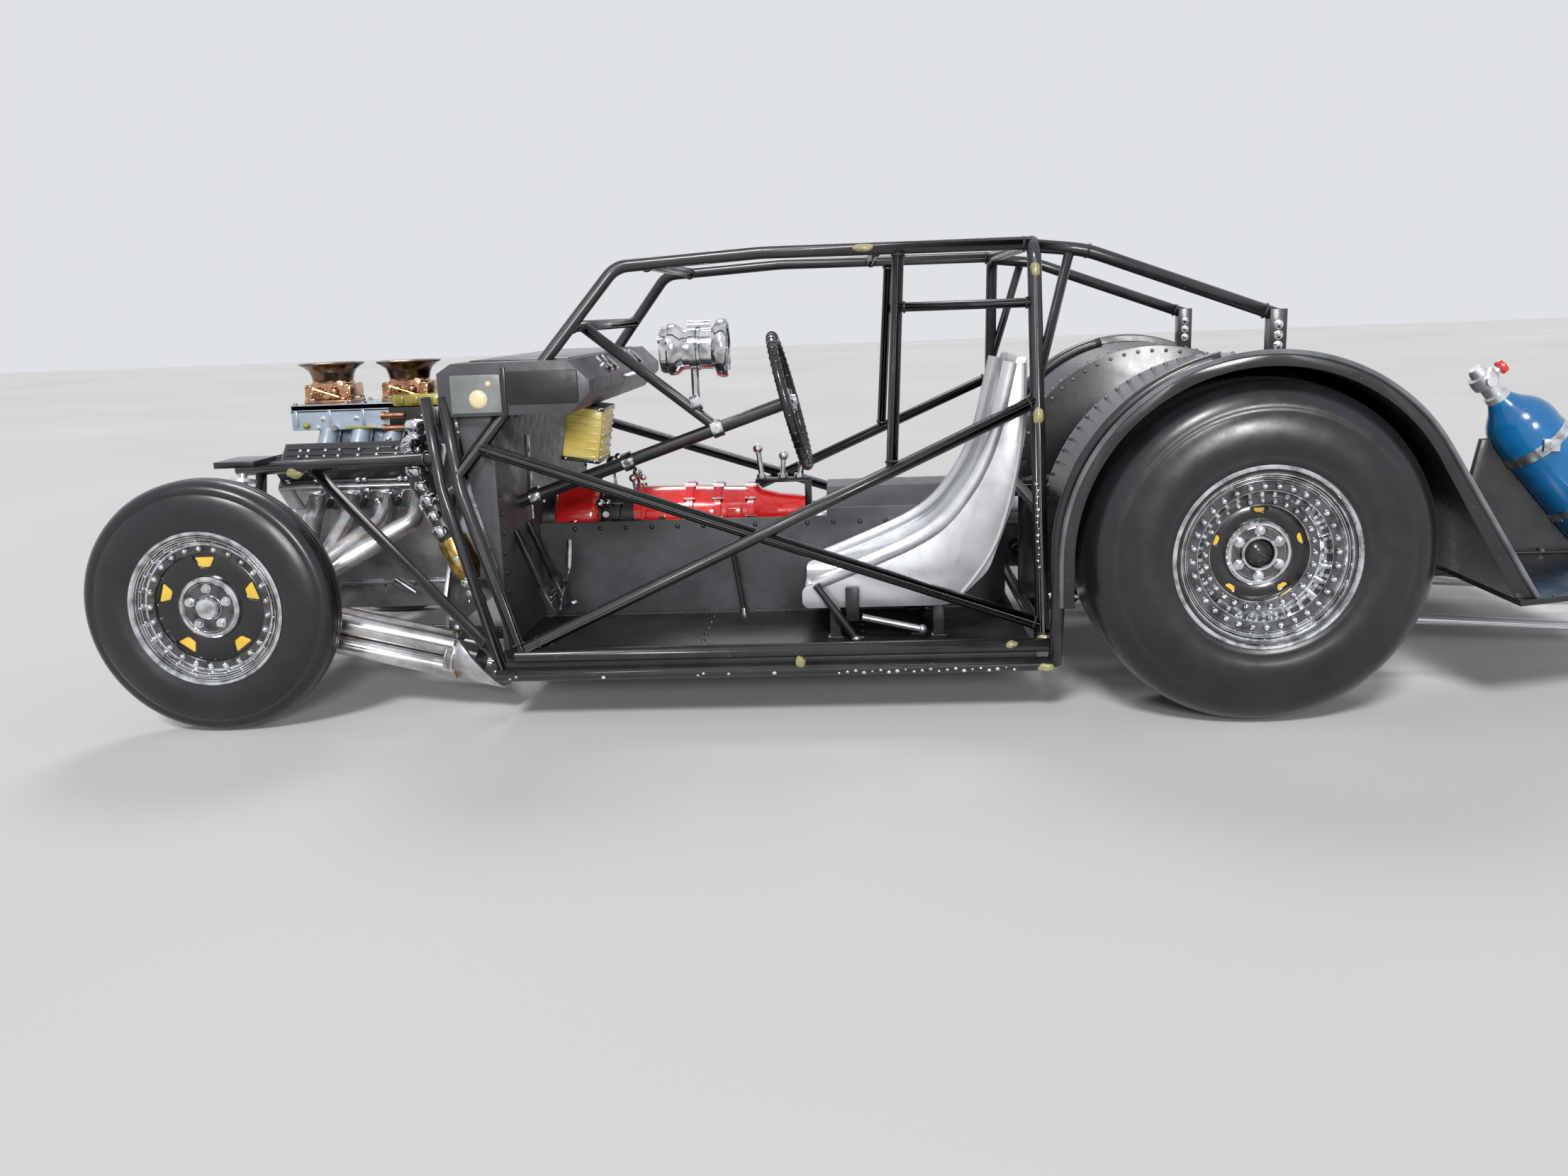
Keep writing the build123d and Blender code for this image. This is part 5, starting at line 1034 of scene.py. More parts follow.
def build_gearbox():
    """Red staged gearbox with bolted flanges, side pads, dark adapters and bright fittings."""
    low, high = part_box("gearbox")
    length = (high.x - low.x) / MM
    z, rear_face = 18.1, 46.8
    axis = low + Vector((0, 1, 1)) * 4.2 * MM
    sections = (
        ("gearbox_fine", RED, "gearbox_red", ("gearbox",), [
            (0, 0.02), (0, 1.9), (0.6, 2.1), (3.2, 2.4), (5.4, 3.0), (5.9, 3.5), (6.4, 3.9), (7.1, 3.9),
            (7.2, 3.4), (10.4, 3.55), (10.5, 4.0), (11.2, 4.0), (11.3, 3.6), (13.9, 3.7), (14.0, 4.15),
            (14.8, 4.15), (14.9, 3.7), (20.4, 3.75), (20.5, 4.18), (21.4, 4.18), (21.4, 0.02),
        ]),
        ("gearbox_adapter", SATIN_BLACK, "floor_black", (), [
            (21.3, 0.02), (21.3, 3.3), (21.9, 3.3), (22.0, 2.9), (23.2, 2.9), (23.3, 3.4), (23.9, 3.4),
            (24.0, 2.9), (25.4, 2.9), (25.6, 3.6), (25.9, 3.6), (25.9, 0.02),
        ]),
        ("gearbox_nose", RED, "gearbox_red", (), [
            (25.8, 0.02), (25.8, 3.3), (26.2, 3.75), (27.0, 3.95), (30.6, 3.95), (31.2, 3.7), (31.6, 3.2),
            (31.6, 0.02)]),
        ("gearbox_adapter_front", SATIN_BLACK, "floor_black", (), [
            (31.5, 0.02), (31.5, 2.9), (32.4, 3.0), (34.0, 4.0), (length, 4.1), (length, 0.02)]),
    )
    for name, material, slot, nodes, outline in sections:
        case = turned(outline, axis, AHEAD, 48)
        if nodes:
            for x, wide in ((54.6, 2.0), (57.9, 2.4), (62.3, 4.6)):
                pad = slab(x, x + wide, 2.6, 4.0, z - 1.5, z + 1.2, 0.3)
                case = joined(case, mirrored(pad), pad)
        keep(case, name, material, replaces=nodes)
    rings = []
    for run, radius in ((6.75, 3.72), (10.85, 3.82), (14.4, 3.95), (20.95, 3.98), (23.6, 3.2)):
        bolt = drum((0, 0, 0), UP, 0.26 * MM, 1.3 * MM, 6)
        rings.append(ring_of(bolt, 10, radius * MM, spot(rear_face + run, 0, z), AHEAD))
    pins = [disc(x, 4.1, z + dz, LEFT, 0.42, 0.9, 12)
            for x, dz in ((55.6, -0.4), (59.1, -0.4), (64.6, 0.2), (71.6, 0.9), (76.0, -0.2))]
    fittings = [
        (70.7, 2.6, 25.3, 0.8), (71.6, 2.4, 24.5, 0.55), (72.4, 2.6, 24.1, 0.6), (69.9, 2.6, 25.9, 0.55),
        (67.7, 2.4, 23.9, 0.6), (67.0, 2.4, 23.3, 0.45), (68.3, 2.4, 23.2, 0.5), (72.5, 3.4, 20.2, 0.6),
        (71.5, 3.4, 20.3, 0.45),
    ]
    arms = [ball((x, y, up), size, 1.0, 3) for x, y, up, size in fittings]
    arms += [bar((x, y, up), (x - 0.3, y * 0.6, 19.6), 0.2, 8) for x, y, up, size in fittings[::2]]
    keep(joined(*rings, *pins, *arms), "gearbox_bolts", CHROME)
    return {"gearbox"}


def build_levers():
    """Shift levers with bright shafts and knobs on a dark base, and the ribbed pedals."""
    finish("pedals_and_levers", SATIN_BLACK)
    base = 22.4
    shafts, knobs = [], []
    for dx, lean, height in ((2.6, -0.4, 3.8), (-0.6, 0.2, 2.8), (-3.0, 0.6, 1.8)):
        x = 50.0 + dx
        shafts.append(bar((x + lean, 0, base), (x, 0, base + height), 0.33))
        knobs.append(ball((x, 0, base + height), 0.62, 1.0, 3))
        knobs.append(disc(x + lean * 0.8, 0, base + 0.3, UP, 0.62, 0.5, 16))
    keep(joined(*shafts, *knobs), "levers", CHROME)
    pads = []
    for y in (12.0, 18.0):
        for step in range(5):
            x, z = 75.9 - step * 0.05, 9.9 + step * 0.62
            pads.append(bar((x, y - 1.2, z), (x, y + 1.2, z), 0.12, 8))
    keep(joined(*pads), "pedal_ribs", CHROME)
    return {"pedals_and_levers"}


def build_headers():
    """Primaries and collectors in their own form, with port beads, collector rings and a black lining inside
    the collectors as painted shade.
    """
    for node in ("header_primaries", "header_collectors"):
        finish(node, HEADER_SILVER)
    front, end = spot(99.5, 22.4, 9.25), spot(79.6, 24.6, 5.2)
    line = (end - front).normalized()

    def on_line(x):
        return front + line * ((x * MM + REAR_AXLE.x - front.x) / line.x)

    rings = [stand(hoop(2.62, 0.13, 48, 8), on_line(x), line) for x in (86.2, 85.4)]
    keep(with_twin(joined(*rings)), "collector_rings", CHROME)
    # black lining inside each collector: painted shade
    clear()
    bpy.ops.mesh.primitive_cylinder_add(vertices=48, radius=2.08 * MM, depth=3.4 * MM)
    inner_shade = stand(bpy.context.object, on_line(84.6), line)
    keep(with_twin(inner_shade), "collector_inner_shade", WHEEL_BLACK)
    beads = [hoop(1.2, 0.12, 32, 8, Vector((dx, 3.32, 11.35)) * MM, (pi / 2, 0.0, 0.0)) for dx in PORTS]
    keep(at_bank(joined(*beads)), "port_beads", HEADER_SILVER)
    return {"header_primaries", "header_collectors"}


def build_catch_can():
    """Black catch can with a gold sleeve round its foot, its ribbed plated hose, bracket and fittings."""
    top, foot = spot(89.6, 20.0, 26.6), spot(84.0, 21.4, 14.4)
    line = (foot - top).normalized()
    length = (foot - top).length / MM
    outline = [
        (0, 0.02), (0, 1.0), (0.25, 1.35), (0.8, 1.45), (1.0, 1.52), (1.3, 1.52), (1.5, 1.45),
        (6.6, 1.45), (6.8, 1.55), (7.4, 1.55), (7.6, 1.45), (length - 1.2, 1.45), (length - 0.8, 1.3),
        (length - 0.2, 0.8), (length, 0.5), (length, 0.02),
    ]
    can = turned(outline, top, line, 40)
    drain = rod(foot, foot + line * 2.6 * MM, 0.4 * MM)
    keep(joined(can, drain), "catch_can_fine", BLACK_FRAME, replaces=("catch_can",))
    outline = [(8.2, 1.3), (8.2, 1.6), (8.5, 1.68), (12.0, 1.68), (12.4, 1.5), (length, 0.95), (length, 0.6)]
    sleeve = turned(outline, top, line, 40)
    keep(sleeve, "catch_can_sleeve", GOLD)
    strap = drum(top + line * 3.6 * MM, line, 1.6 * MM, 0.7 * MM, 40)
    bracket = rod(top + line * 3.6 * MM, spot(83.2, 25.7, 26.0), 0.42 * MM)
    nut = stand(bolt_head(0.7, 0.4), top + line * 10.4 * MM + Vector((0, 1.45 * MM, 0)), LEFT)
    keep(joined(strap, bracket, nut), "catch_can_bracket", CHROME)
    route = [
        (92.3, 12.6, 29.4), (92.4, 14.4, 29.6), (91.8, 16.8, 29.3), (90.8, 18.8, 28.3),
        (89.8, 19.9, 27.0),
    ]
    hose = pipe([spot(*place) for place in route], 0.55 * MM, 16)
    rings = []
    curve = [Vector(spot(*place)) for place in route]
    for number in range(18):
        share = number / 17 * (len(curve) - 1)
        step = min(int(share), len(curve) - 2)
        local = share - step
        before, after = curve[max(step - 1, 0)], curve[min(step + 2, len(curve) - 1)]
        a, b = curve[step], curve[step + 1]
        place = a.lerp(b, local)
        heading = (b - a).normalized().lerp((after - before).normalized(), 0.5)
        rings.append(stand(hoop(0.6, 0.14, 20, 6), place, heading))
    keep(joined(hose, *rings), "catch_can_hose", CHROME)
    chain = []
    for x, y, z, size in ((89.5, 20.0, 27.2, 1.2), (88.9, 20.2, 25.4, 0.9), (88.2, 20.3, 23.8, 1.1),
                          (87.6, 20.4, 22.0, 0.9), (87.0, 20.5, 20.2, 1.1), (84.3, 21.2, 14.4, 0.85),
                          (83.9, 21.3, 13.2, 0.7)):
        chain.append(ball((x, y + 1.1, z), size, 0.8, 3))
    keep(joined(*chain), "catch_can_fittings", CHROME)
    return {"catch_can"}


def build_springs():
    """Dampers with wire springs and collars, front and rear, and the front knuckles and spindles."""
    def damper(foot, top, spring_from, spring_to, body, rod_radius):
        line = (top - foot).normalized()
        length = (top - foot).length / MM
        outline = [
            (0, 0.02), (0, body * 0.8), (0.3, body), (spring_from - 0.3, body), (spring_from - 0.3, 1.55),
            (spring_from, 1.55), (spring_from, body * 0.8), ((spring_from + spring_to) / 2, body * 0.8),
            ((spring_from + spring_to) / 2 + 0.05, rod_radius), (spring_to, rod_radius),
            (spring_to, 1.55), (spring_to + 0.4, 1.55), (spring_to + 0.5, rod_radius),
            (length, rod_radius), (length, 0.02),
        ]
        spine = turned(outline, foot, line, 32)
        turns = max(4, round((spring_to - spring_from) / 0.95))
        wire = coil(foot + line * (spring_from + 0.18) * MM, line, 1.38 * MM, 0.22 * MM,
                    (spring_to - spring_from - 0.4) * MM, turns)
        return spine, wire

    foot, top = spot(FRONT_AXLE_X, 22.4, 12.4), spot(FRONT_AXLE_X, 18.6, 27.0)
    spine, wire = damper(foot, top, 7.8, 14.0, 1.15, 0.5)
    knuckle = slab(109.1, 112.1, 21.6, 24.4, 10.45, 15.8, 0.35)
    spindle = bar((FRONT_AXLE_X, 24.0, FRONT_AXLE_Z), (FRONT_AXLE_X, 30.0, FRONT_AXLE_Z), 1.0)
    arm = bar((FRONT_AXLE_X, 22.2, 11.2), (114.6, 21.4, 11.2), 0.55)
    keep(with_twin(joined(spine, knuckle, spindle, arm)), "front_struts_fine", SILVER,
         replaces=("front_struts",))
    keep(with_twin(wire), "front_springs", CHROME)
    foot, top = spot(-3.2, 9.2, 13.0), spot(-5.2, 9.2, 24.7)
    spine, wire = damper(foot, top, 1.6, 8.8, 0.9, 0.5)
    pin = bar((-3.2, 9.0, 13.0), (-3.2, 11.1, 13.0), 0.55)
    keep(with_twin(joined(spine, pin)), "rear_coil_overs_fine", SILVER,
         replaces=("rear_coil_overs",))
    keep(with_twin(wire), "rear_springs", CHROME)
    return {"front_struts", "rear_coil_overs"}


def build_bottle():
    """Blue gas bottle with a turned shoulder, silver valve, red knob, straps and its bolted cradle."""
    tilt, strap_radius = radians(50.0), 3.75
    down = Vector((-cos(tilt), 0.0, -sin(tilt)))
    top = spot(-32.4, 12.0, 30.4)
    outline = [
        (-0.2, 0.02), (-0.2, 1.3), (0.2, 1.5), (1.0, 2.0), (1.8, 2.75), (2.6, 3.3), (3.5, 3.65),
        (4.4, 3.8), (17.6, 3.8), (18.3, 3.65), (18.8, 3.2), (19.0, 2.6), (19.0, 0.02),
    ]
    bottle = turned(outline, top, down, 64)
    keep(bottle, "gas_bottle_fine", BLUE, replaces=("gas_bottle",))
    outline = [(-4.6, 0.02), (-4.6, 0.7), (-4.3, 0.9), (-3.7, 1.0), (-3.6, 1.45), (-3.0, 1.55), (-2.3, 1.5),
               (-1.9, 1.1), (-1.0, 1.1), (-0.8, 1.35), (-0.1, 1.35), (-0.1, 0.02)]
    valve = turned(outline, top, down, 32)
    side = Vector((-sin(tilt), 0.0, cos(tilt)))
    body = top + down * -2.8 * MM
    port = rod(body, body + Vector((0, 2.0 * MM, 0)), 0.55 * MM)
    stem = rod(body, body - side * -2.1 * MM, 0.4 * MM)
    keep(joined(valve, port, stem), "bottle_valve", SILVER)
    knob = drum(body + side * 2.3 * MM, side, 0.85 * MM, 0.7 * MM, 10)
    keep(ease(knob, 0.12 * MM), "bottle_knob", RED)
    straps = []
    for run in (6.4, 14.6):
        outline = [
            (run - 0.6, strap_radius), (run - 0.6, 3.95), (run + 0.6, 3.95), (run + 0.6, strap_radius),
        ]
        straps.append(turned(outline, top, down, 64))
        buckle = brick(-0.9, 0.9, -0.7, 0.7, -0.2, 0.35, 0.1)
        straps.append(stand(buckle, top + down * run * MM + Vector((0, 3.85 * MM, 0)), LEFT))
    keep(joined(*straps), "bottle_straps", CHROME)
    finish("bottle_cradle", SATIN_BLACK, 0.1)
    flange = slab(-44.0, -28.2, 11.0, 13.2, 12.7, 13.0, 0.08)
    keep(flange, "cradle_flange", SATIN_BLACK)
    places = [(x, 12.9, 13.0) for x in (-43.0, -38.0, -33.0, -29.2)]
    keep(heads(bolt_head(0.6, 0.35), places, UP), "cradle_bolts", CHROME)
    return {"gas_bottle", "bottle_cradle"}


def build_wheelie_wheels():
    """Small wheels at the wheelie bars' ends: rounded tyres, plated hubs and the axle that they share."""
    low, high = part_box("wheelie_wheels")
    x, z = ((low.x + high.x) / 2 - REAR_AXLE.x) / MM, (low.z + high.z) / 2 / MM
    outline = [(-0.8, 1.2), (-0.8, 2.0), (-0.7, 2.25), (-0.45, 2.4), (0.45, 2.4), (0.7, 2.25), (0.8, 2.0),
               (0.8, 1.2)]
    tread = turned(outline, spot(x, 14.0, z), LEFT, 64)
    keep(with_twin(tread), "wheelie_wheels_fine", TYRE, "wheelie_wheel_pair",
         ("wheelie_wheels",))
    outline = [(-0.75, 0.5), (-0.75, 1.25), (0.6, 1.25), (0.62, 1.0), (0.45, 0.9), (0.45, 0.75), (0.78, 0.65),
               (0.78, 0.02), (-0.7, 0.02)]
    hub = turned(outline, spot(x, 14.0, z), LEFT, 32)
    shaft = bar((x, -13.3, z), (x, 13.3, z), 0.49)
    keep(joined(with_twin(hub), shaft), "wheelie_hubs", CHROME, "wheelie_wheel_pair")
    return {"wheelie_wheels"}


def hoop_leg(z, out=0.0):
    """Place on the left leg of the hoop at a height, or that far outside its middle, in millimetres."""
    return (HOOP_X, 29.5 - (z - 7.7) * 0.1974 + out, z)


def pillar(z):
    """Place on the left windscreen pillar at a height, in millimetres."""
    share = (48.4 - z) / 21.4
    return (65.8 + 17.5 * share, 20.0 + 5.9 * share, z)


def build_dash():
    """Dashboard with eased corners, end plates, dark strips, a glossy top skin, dials and switches."""
    finish("dashboard", PANEL_GREY, 0.45)
    plate = slab(77.9, 83.4, DASH_END_Y, 25.85, 33.5, 37.6, 0.16)
    rear_panel = slab(69.6, 77.2, DASH_END_Y, 25.8, 34.3, 37.8, 0.4)
    keep(with_twin(plate), "dash_end_plates", PANEL_LIGHT)
    keep(with_twin(rear_panel), "dash_end_panels", SATIN_BLACK)
    strip = slab(77.3, 77.8, DASH_END_Y, 25.95, 33.3, 38.3, 0.1)
    keep(with_twin(strip), "dash_end_strips", BLACK_FRAME)
    spots = joined(
        stand(dome_head(2.1, 0.35), spot(80.4, 25.8, 35.0), LEFT),
        stand(dome_head(0.7, 0.25), spot(79.2, 25.8, 36.6), LEFT),
    )
    keep(with_twin(spots), "dash_end_buttons", YELLOW_PALE)
    skin = slab(71.4, 82.4, -21.2, 21.2, 38.7, 38.95, 0.12)
    keep(skin, "dash_top_skin", BLACK_FRAME)
    bezels, faces = [], []
    toward = Vector((-1, 0, 1)).normalized()
    dials = ((-11.0, 0.4), (-7.5, 2.2), (7.5, 1.1), (11.0, 2.6))
    for y, _ in dials:
        bezels.append(drum(spot(DIAL_X, y, DIAL_Z) + toward * 0.15 * MM, toward, 1.25 * MM, 0.5 * MM, 32))
        faces.append(drum(spot(DIAL_X, y, DIAL_Z) + toward * 0.42 * MM, toward, 1.05 * MM, 0.1 * MM, 32))
    keep(joined(*bezels), "dash_bezels", CHROME)
    keep(joined(*faces), "dash_faces", WHEEL_BLACK)
    needles = []
    for y, turn in dials:
        needle = brick(-0.2, 0.8, -0.07, 0.07, 0, 0.08)
        needles.append(stand(needle, spot(DIAL_X, y, DIAL_Z) + toward * 0.46 * MM, toward, turn))
    switches = [disc(68.2, y, 36.0, AHEAD, 0.22, 1.0, 12) for y in (-3.6, -2.2, -0.8, 0.6, 2.0, 3.4)]
    keep(joined(*needles, *switches), "dash_needles_and_switches", SILVER)
    return {"dashboard"}


def build_brackets():
    """Rear brackets and rack mounts with eased edges, and their bright bolts."""
    finish("frame_brackets", BLACK_FRAME, 0.22)
    bolts = []
    for z in (37.6, 38.7, 39.8):
        bolts.append(stand(bolt_head(0.8, 0.45), spot(-4.8, 20.9, z), LEFT))
        bolts.append(stand(bolt_head(0.8, 0.45), spot(-4.8, 19.1, z), (0, -1, 0)))
    bolts.append(stand(dome_head(1.0, 0.5), spot(-3.9, 20.0, 40.9), (1, 0, 1)))
    keep(with_twin(joined(*bolts)), "bracket_bolts", CHROME)
    return {"frame_brackets"}


def build_tub_trim():
    """Rolled lip round each outer arch and rivets along the arch and down the inner wall, in a light grey
    that is painted highlight.
    """
    reach, last = 20.05, radians(148.9)
    arch_rivets, wall_rivets = 19.28, 18.6
    route = [spot(reach, TUB_SIDE_Y, 12.9), spot(reach, TUB_SIDE_Y, 15.2)]
    for step in range(41):
        turn = last * step / 40
        route.append(spot(reach * cos(turn), TUB_SIDE_Y, REAR_AXLE_Z + reach * sin(turn)))
    route.append(spot(-26.3, TUB_SIDE_Y, 12.9))
    lip = pipe(route, 0.28 * MM, 10)
    # the lip's light grey is painted highlight along the arch edge
    keep(with_twin(lip), "tub_lips", TUB_HIGHLIGHT_GREY)
    rivets = []
    for step in range(34):
        turn = last * (step + 0.5) / 34
        out = (cos(turn), 0, sin(turn))
        for y in (16.3, 33.9):
            place = spot(arch_rivets * cos(turn), y, REAR_AXLE_Z + arch_rivets * sin(turn))
            rivets.append(place_at(place, out))
    for step in range(26):
        turn = last * (step + 0.5) / 26
        place = spot(wall_rivets * cos(turn), 15.2, REAR_AXLE_Z + wall_rivets * sin(turn))
        rivets.append(place_at(place, (0, -1, 0)))
    keep(with_twin(studded(dome_head(0.55, 0.22), rivets)), "tub_rivets", TUB_HIGHLIGHT_GREY)
    return set()


def glue_spot(number, place, long, tall):
    """Uneven smear of old glue on a tube's outer side."""
    clear()
    bpy.ops.mesh.primitive_ico_sphere_add(subdivisions=3, radius=0.5 * MM, location=spot(*place),
                                          scale=(long, 0.8, tall))
    smear = settle(bpy.context.object)
    bpy.ops.object.mode_set(mode="EDIT")
    bpy.ops.mesh.select_all(action="SELECT")
    bpy.ops.transform.vertex_random(offset=0.3 * MM, seed=number)
    bpy.ops.mesh.vertices_smooth(factor=0.5, repeat=2)
    bpy.ops.object.mode_set(mode="OBJECT")
    return smear


def build_welds():
    """Weld beads where the tubes meet, old glue spots, and bright plated dots along the lower rail, the cowl
    post and the hoop's leg as painted glints.
    """
    up_front, up_rear = (76.3, 29.9, 8.4), hoop_leg(32.9)
    down_front, down_rear = pillar(29.8), hoop_leg(9.6)
    crown, roof_end = (50.0, 20.2, 49.2), (21.0, 20.2, 49.11)
    post_top, post_foot = (35.2, 20.2, 49.25), (36.5, 26.04, 26.03)
    pair_at, rail_front = (85.9, 25.6, 28.8), (112.6, 15.0, 27.1)
    brace_top, brace_foot = (102.5, 18.9, 27.75), (79.6, 29.4, 7.5)
    window_front, window_rear = (35.5, 21.7, 43.0), hoop_leg(43.0)
    beads = [
        # from, toward, tube radius, distance along to the bead
        (up_rear, up_front, 0.7, 0.95), (up_front, up_rear, 0.7, 1.6), (down_rear, down_front, 0.7, 0.95),
        (down_front, down_rear, 0.7, 1.3), (roof_end, crown, 0.7, 0.95), (post_top, post_foot, 0.62, 0.9),
        (post_foot, post_top, 0.62, 0.95), (window_rear, window_front, 0.5, 0.9),
        (window_front, window_rear, 0.5, 0.75), (hoop_leg(7.7), hoop_leg(20.0), 0.75, 1.05),
        ((76.8, 29.9, 7.7), (83.2, 26.0, 25.5), 0.7, 1.2), (pair_at, rail_front, 0.75, 0.9),
        (brace_top, brace_foot, 0.62, 0.95), (brace_foot, brace_top, 0.62, 2.0),
        ((62.5, 20.0, 48.5), (62.5, 0.0, 48.5), 0.62, 0.85),
        ((37.6, 20.2, 49.2), (37.6, 0.0, 49.2), 0.62, 0.85),
        (pillar(42.2), (70.9, 0.0, 42.2), 0.62, 0.85), ((40.0, 30.0, 5.6), (40.0, 0.0, 5.6), 0.7, 0.95),
        ((58.0, 30.0, 5.6), (58.0, 0.0, 5.6), 0.7, 0.95),
        ((76.0, 30.0, 5.6), (76.0, 0.0, 5.6), 0.7, 0.95), (hoop_leg(21.6), (21.0, 0.0, 21.6), 0.7, 0.95),
        (hoop_leg(8.6), (21.0, 0.0, 8.6), 0.7, 0.95), ((15.6, 20.3, 48.3), (-4.8, 20.0, 40.8), 0.7, 0.4),
        ((-4.8, 20.0, 40.8), (15.6, 20.3, 48.3), 0.7, 1.3),
    ]
    rings = []
    for start, toward, radius, lift in beads:
        first, line = spot(*start), (spot(*toward) - spot(*start)).normalized()
        rings.append(stand(hoop(radius + 0.03, 0.14, 20, 6), first + line * lift * MM, line))
    keep(with_twin(joined(*rings)), "weld_beads", BLACK_FRAME)
    smears = [glue_spot(number, place, long, tall) for number, (place, long, tall) in enumerate((
        (hoop_leg(46.3, 0.55), 1.2, 1.9), (hoop_leg(31.2, 0.55), 1.2, 2.2), (hoop_leg(8.3, 0.45), 1.5, 1.3),
        ((20.9, 30.55, 5.4), 1.9, 1.1), ((46.7, 30.45, 6.5), 1.2, 1.4), ((39.0, 20.75, 49.35), 2.6, 0.9),
        ((24.4, 30.5, 7.9), 1.6, 0.9), ((104.4, 18.7, 27.0), 2.1, 1.5),
    ))]
    keep(with_twin(joined(*smears)), "glue_spots", GLUE)
    # bright plated dots: painted glints along the lower rail, the cowl post and the hoop's leg
    spots = [
        (79.7, 30.3, 6.1), (78.1, 30.6, 5.3), (77.4, 30.6, 5.5), (67.9, 30.62, 5.3), (57.7, 30.62, 5.3),
        (57.1, 30.62, 5.5), (54.4, 30.62, 5.4), (49.5, 30.62, 5.4), (82.1, 28.6, 9.2), (82.6, 27.9, 13.4),
        (83.2, 26.9, 18.6), (82.9, 27.4, 15.8),
    ]
    for step in range(22):
        spots.append((42.6 - step * 0.88, 30.6, 5.35 + 0.12 * (step * 7 % 3 - 1)))
    for step in range(14):
        x, y, z = hoop_leg(15.7 + step * 0.66, 0.6)
        spots.append((x + 0.28 + 0.07 * (step * 5 % 3 - 1), y, z))
    glint_dots = [ball(place, 0.19 + 0.035 * (number * 5 % 4), 0.8, 2)
              for number, place in enumerate(spots)]
    keep(with_twin(joined(*glint_dots)), "painted_glint_dots", CHROME)
    return set()


def rivet_rows():
    """Places and directions of the rivets in the floor, tunnel, firewall and trunk floor."""
    rows = []
    for step in range(17):
        x = 24.0 + step * 3.2
        rows += [((x, 28.4, 6.9), UP), ((x, 7.2, 6.95), UP), ((x, 6.6, 17.6), LEFT)]
    for x in (75.4, 58.0, 40.0):
        rows += [((x, y, 6.9), UP) for y in (10.0, 13.0, 16.0, 19.0, 22.0, 25.0)]
        rows += [((x, y, 6.28), (0, 0, -1)) for y in (4.0, 8.0, 12.0, 16.0, 20.0, 24.0)]
    for step in range(8):
        rows.append(((79.55, 23.4, 9.0 + step * 2.2), (-1, 0, 0)))
        rows.append(((79.55, 2.0 + step * 3.0, 32.4), (-1, 0, 0)))
        rows.append(((80.25, 8.0 + step * 2.2, 7.9), AHEAD))
    for step in range(9):
        rows.append(((-26.0, 2.0 + step * 3.7, 12.7), UP))
        rows.append(((-46.2, 1.0 + step * 3.3, 12.7), UP))
    for step in range(6):
        rows.append(((-28.5 - step * 3.0, 34.6 - step * 1.08, 12.7), UP))
    return [place_at(spot(*place), along) for place, along in rows]


def build_fasteners():
    """Rivets in the sheet, an angle strip at the tunnel's foot, and bolts on the driveline's cases."""
    strip = slab(22.6, 79.4, 6.5, 7.8, 6.88, 7.0)
    keep(with_twin(strip), "tunnel_angles", PANEL_GREY)
    keep(with_twin(studded(dome_head(0.6, 0.24), rivet_rows())), "sheet_rivets", BLACK_FRAME)
    bolt = bolt_head(0.75, 0.45)
    bell = ring_of(bolt, 12, 5.95 * MM, spot(88.9, 0, CRANK_Z), (-1, 0, 0), 0.2)
    cover = ring_of(bolt_head(0.7, 0.4), 10, 3.0 * MM, spot(-4.4, 0, REAR_AXLE_Z), (-1, 0, 0))
    pinion = ring_of(bolt_head(0.55, 0.35), 6, 1.9 * MM, spot(8.6, 0, REAR_AXLE_Z), AHEAD)
    flange = slab(91.5, 108.3, -5.7, 5.7, 11.1, 11.5, 0.1)
    pan_bolts = [place_at(spot(92.4 + step * 1.94, side * 5.45, 11.1), (0, 0, -1))
                 for step in range(9) for side in (-1, 1)]
    plug = stand(bolt_head(1.2, 0.6), spot(94.0, 0, 7.9), (0, 0, -1))
    ribs = [slab(95.0 + step * 2.6, 95.5 + step * 2.6, -3.9, 3.9, 7.75, 8.1, 0.08) for step in range(5)]
    pan = studded(bolt_head(0.5, 0.3), pan_bolts)
    keep(joined(flange, *ribs), "oil_pan_flange", ALLOY)
    corners = [place_at(spot(x, side * y, z), along)
               for x, along in ((109.82, AHEAD), (90.0, (-1, 0, 0)))
               for side in (-1, 1) for y, z in ((11.6, 9.2), (9.4, 13.4))]
    plates = studded(bolt_head(0.8, 0.4), corners)
    keep(joined(bell, cover, pinion, plug, pan, plates), "driveline_bolts", CHROME)
    fins = []
    for step in range(9):
        turn = tau * step / 9 + 0.2
        fin = brick(-1.7, 1.9, -0.16, 0.16, 5.1, 6.0, 0.06)
        fin.data.transform(Matrix.Translation(spot(86.6, 0, CRANK_Z)) @ Matrix.Rotation(turn, 4, "X")
                           @ Matrix.Rotation(radians(14.0), 4, "Y"))
        fins.append(fin)
    keep(joined(*fins), "bellhousing_ribs", ALLOY)
    return set()


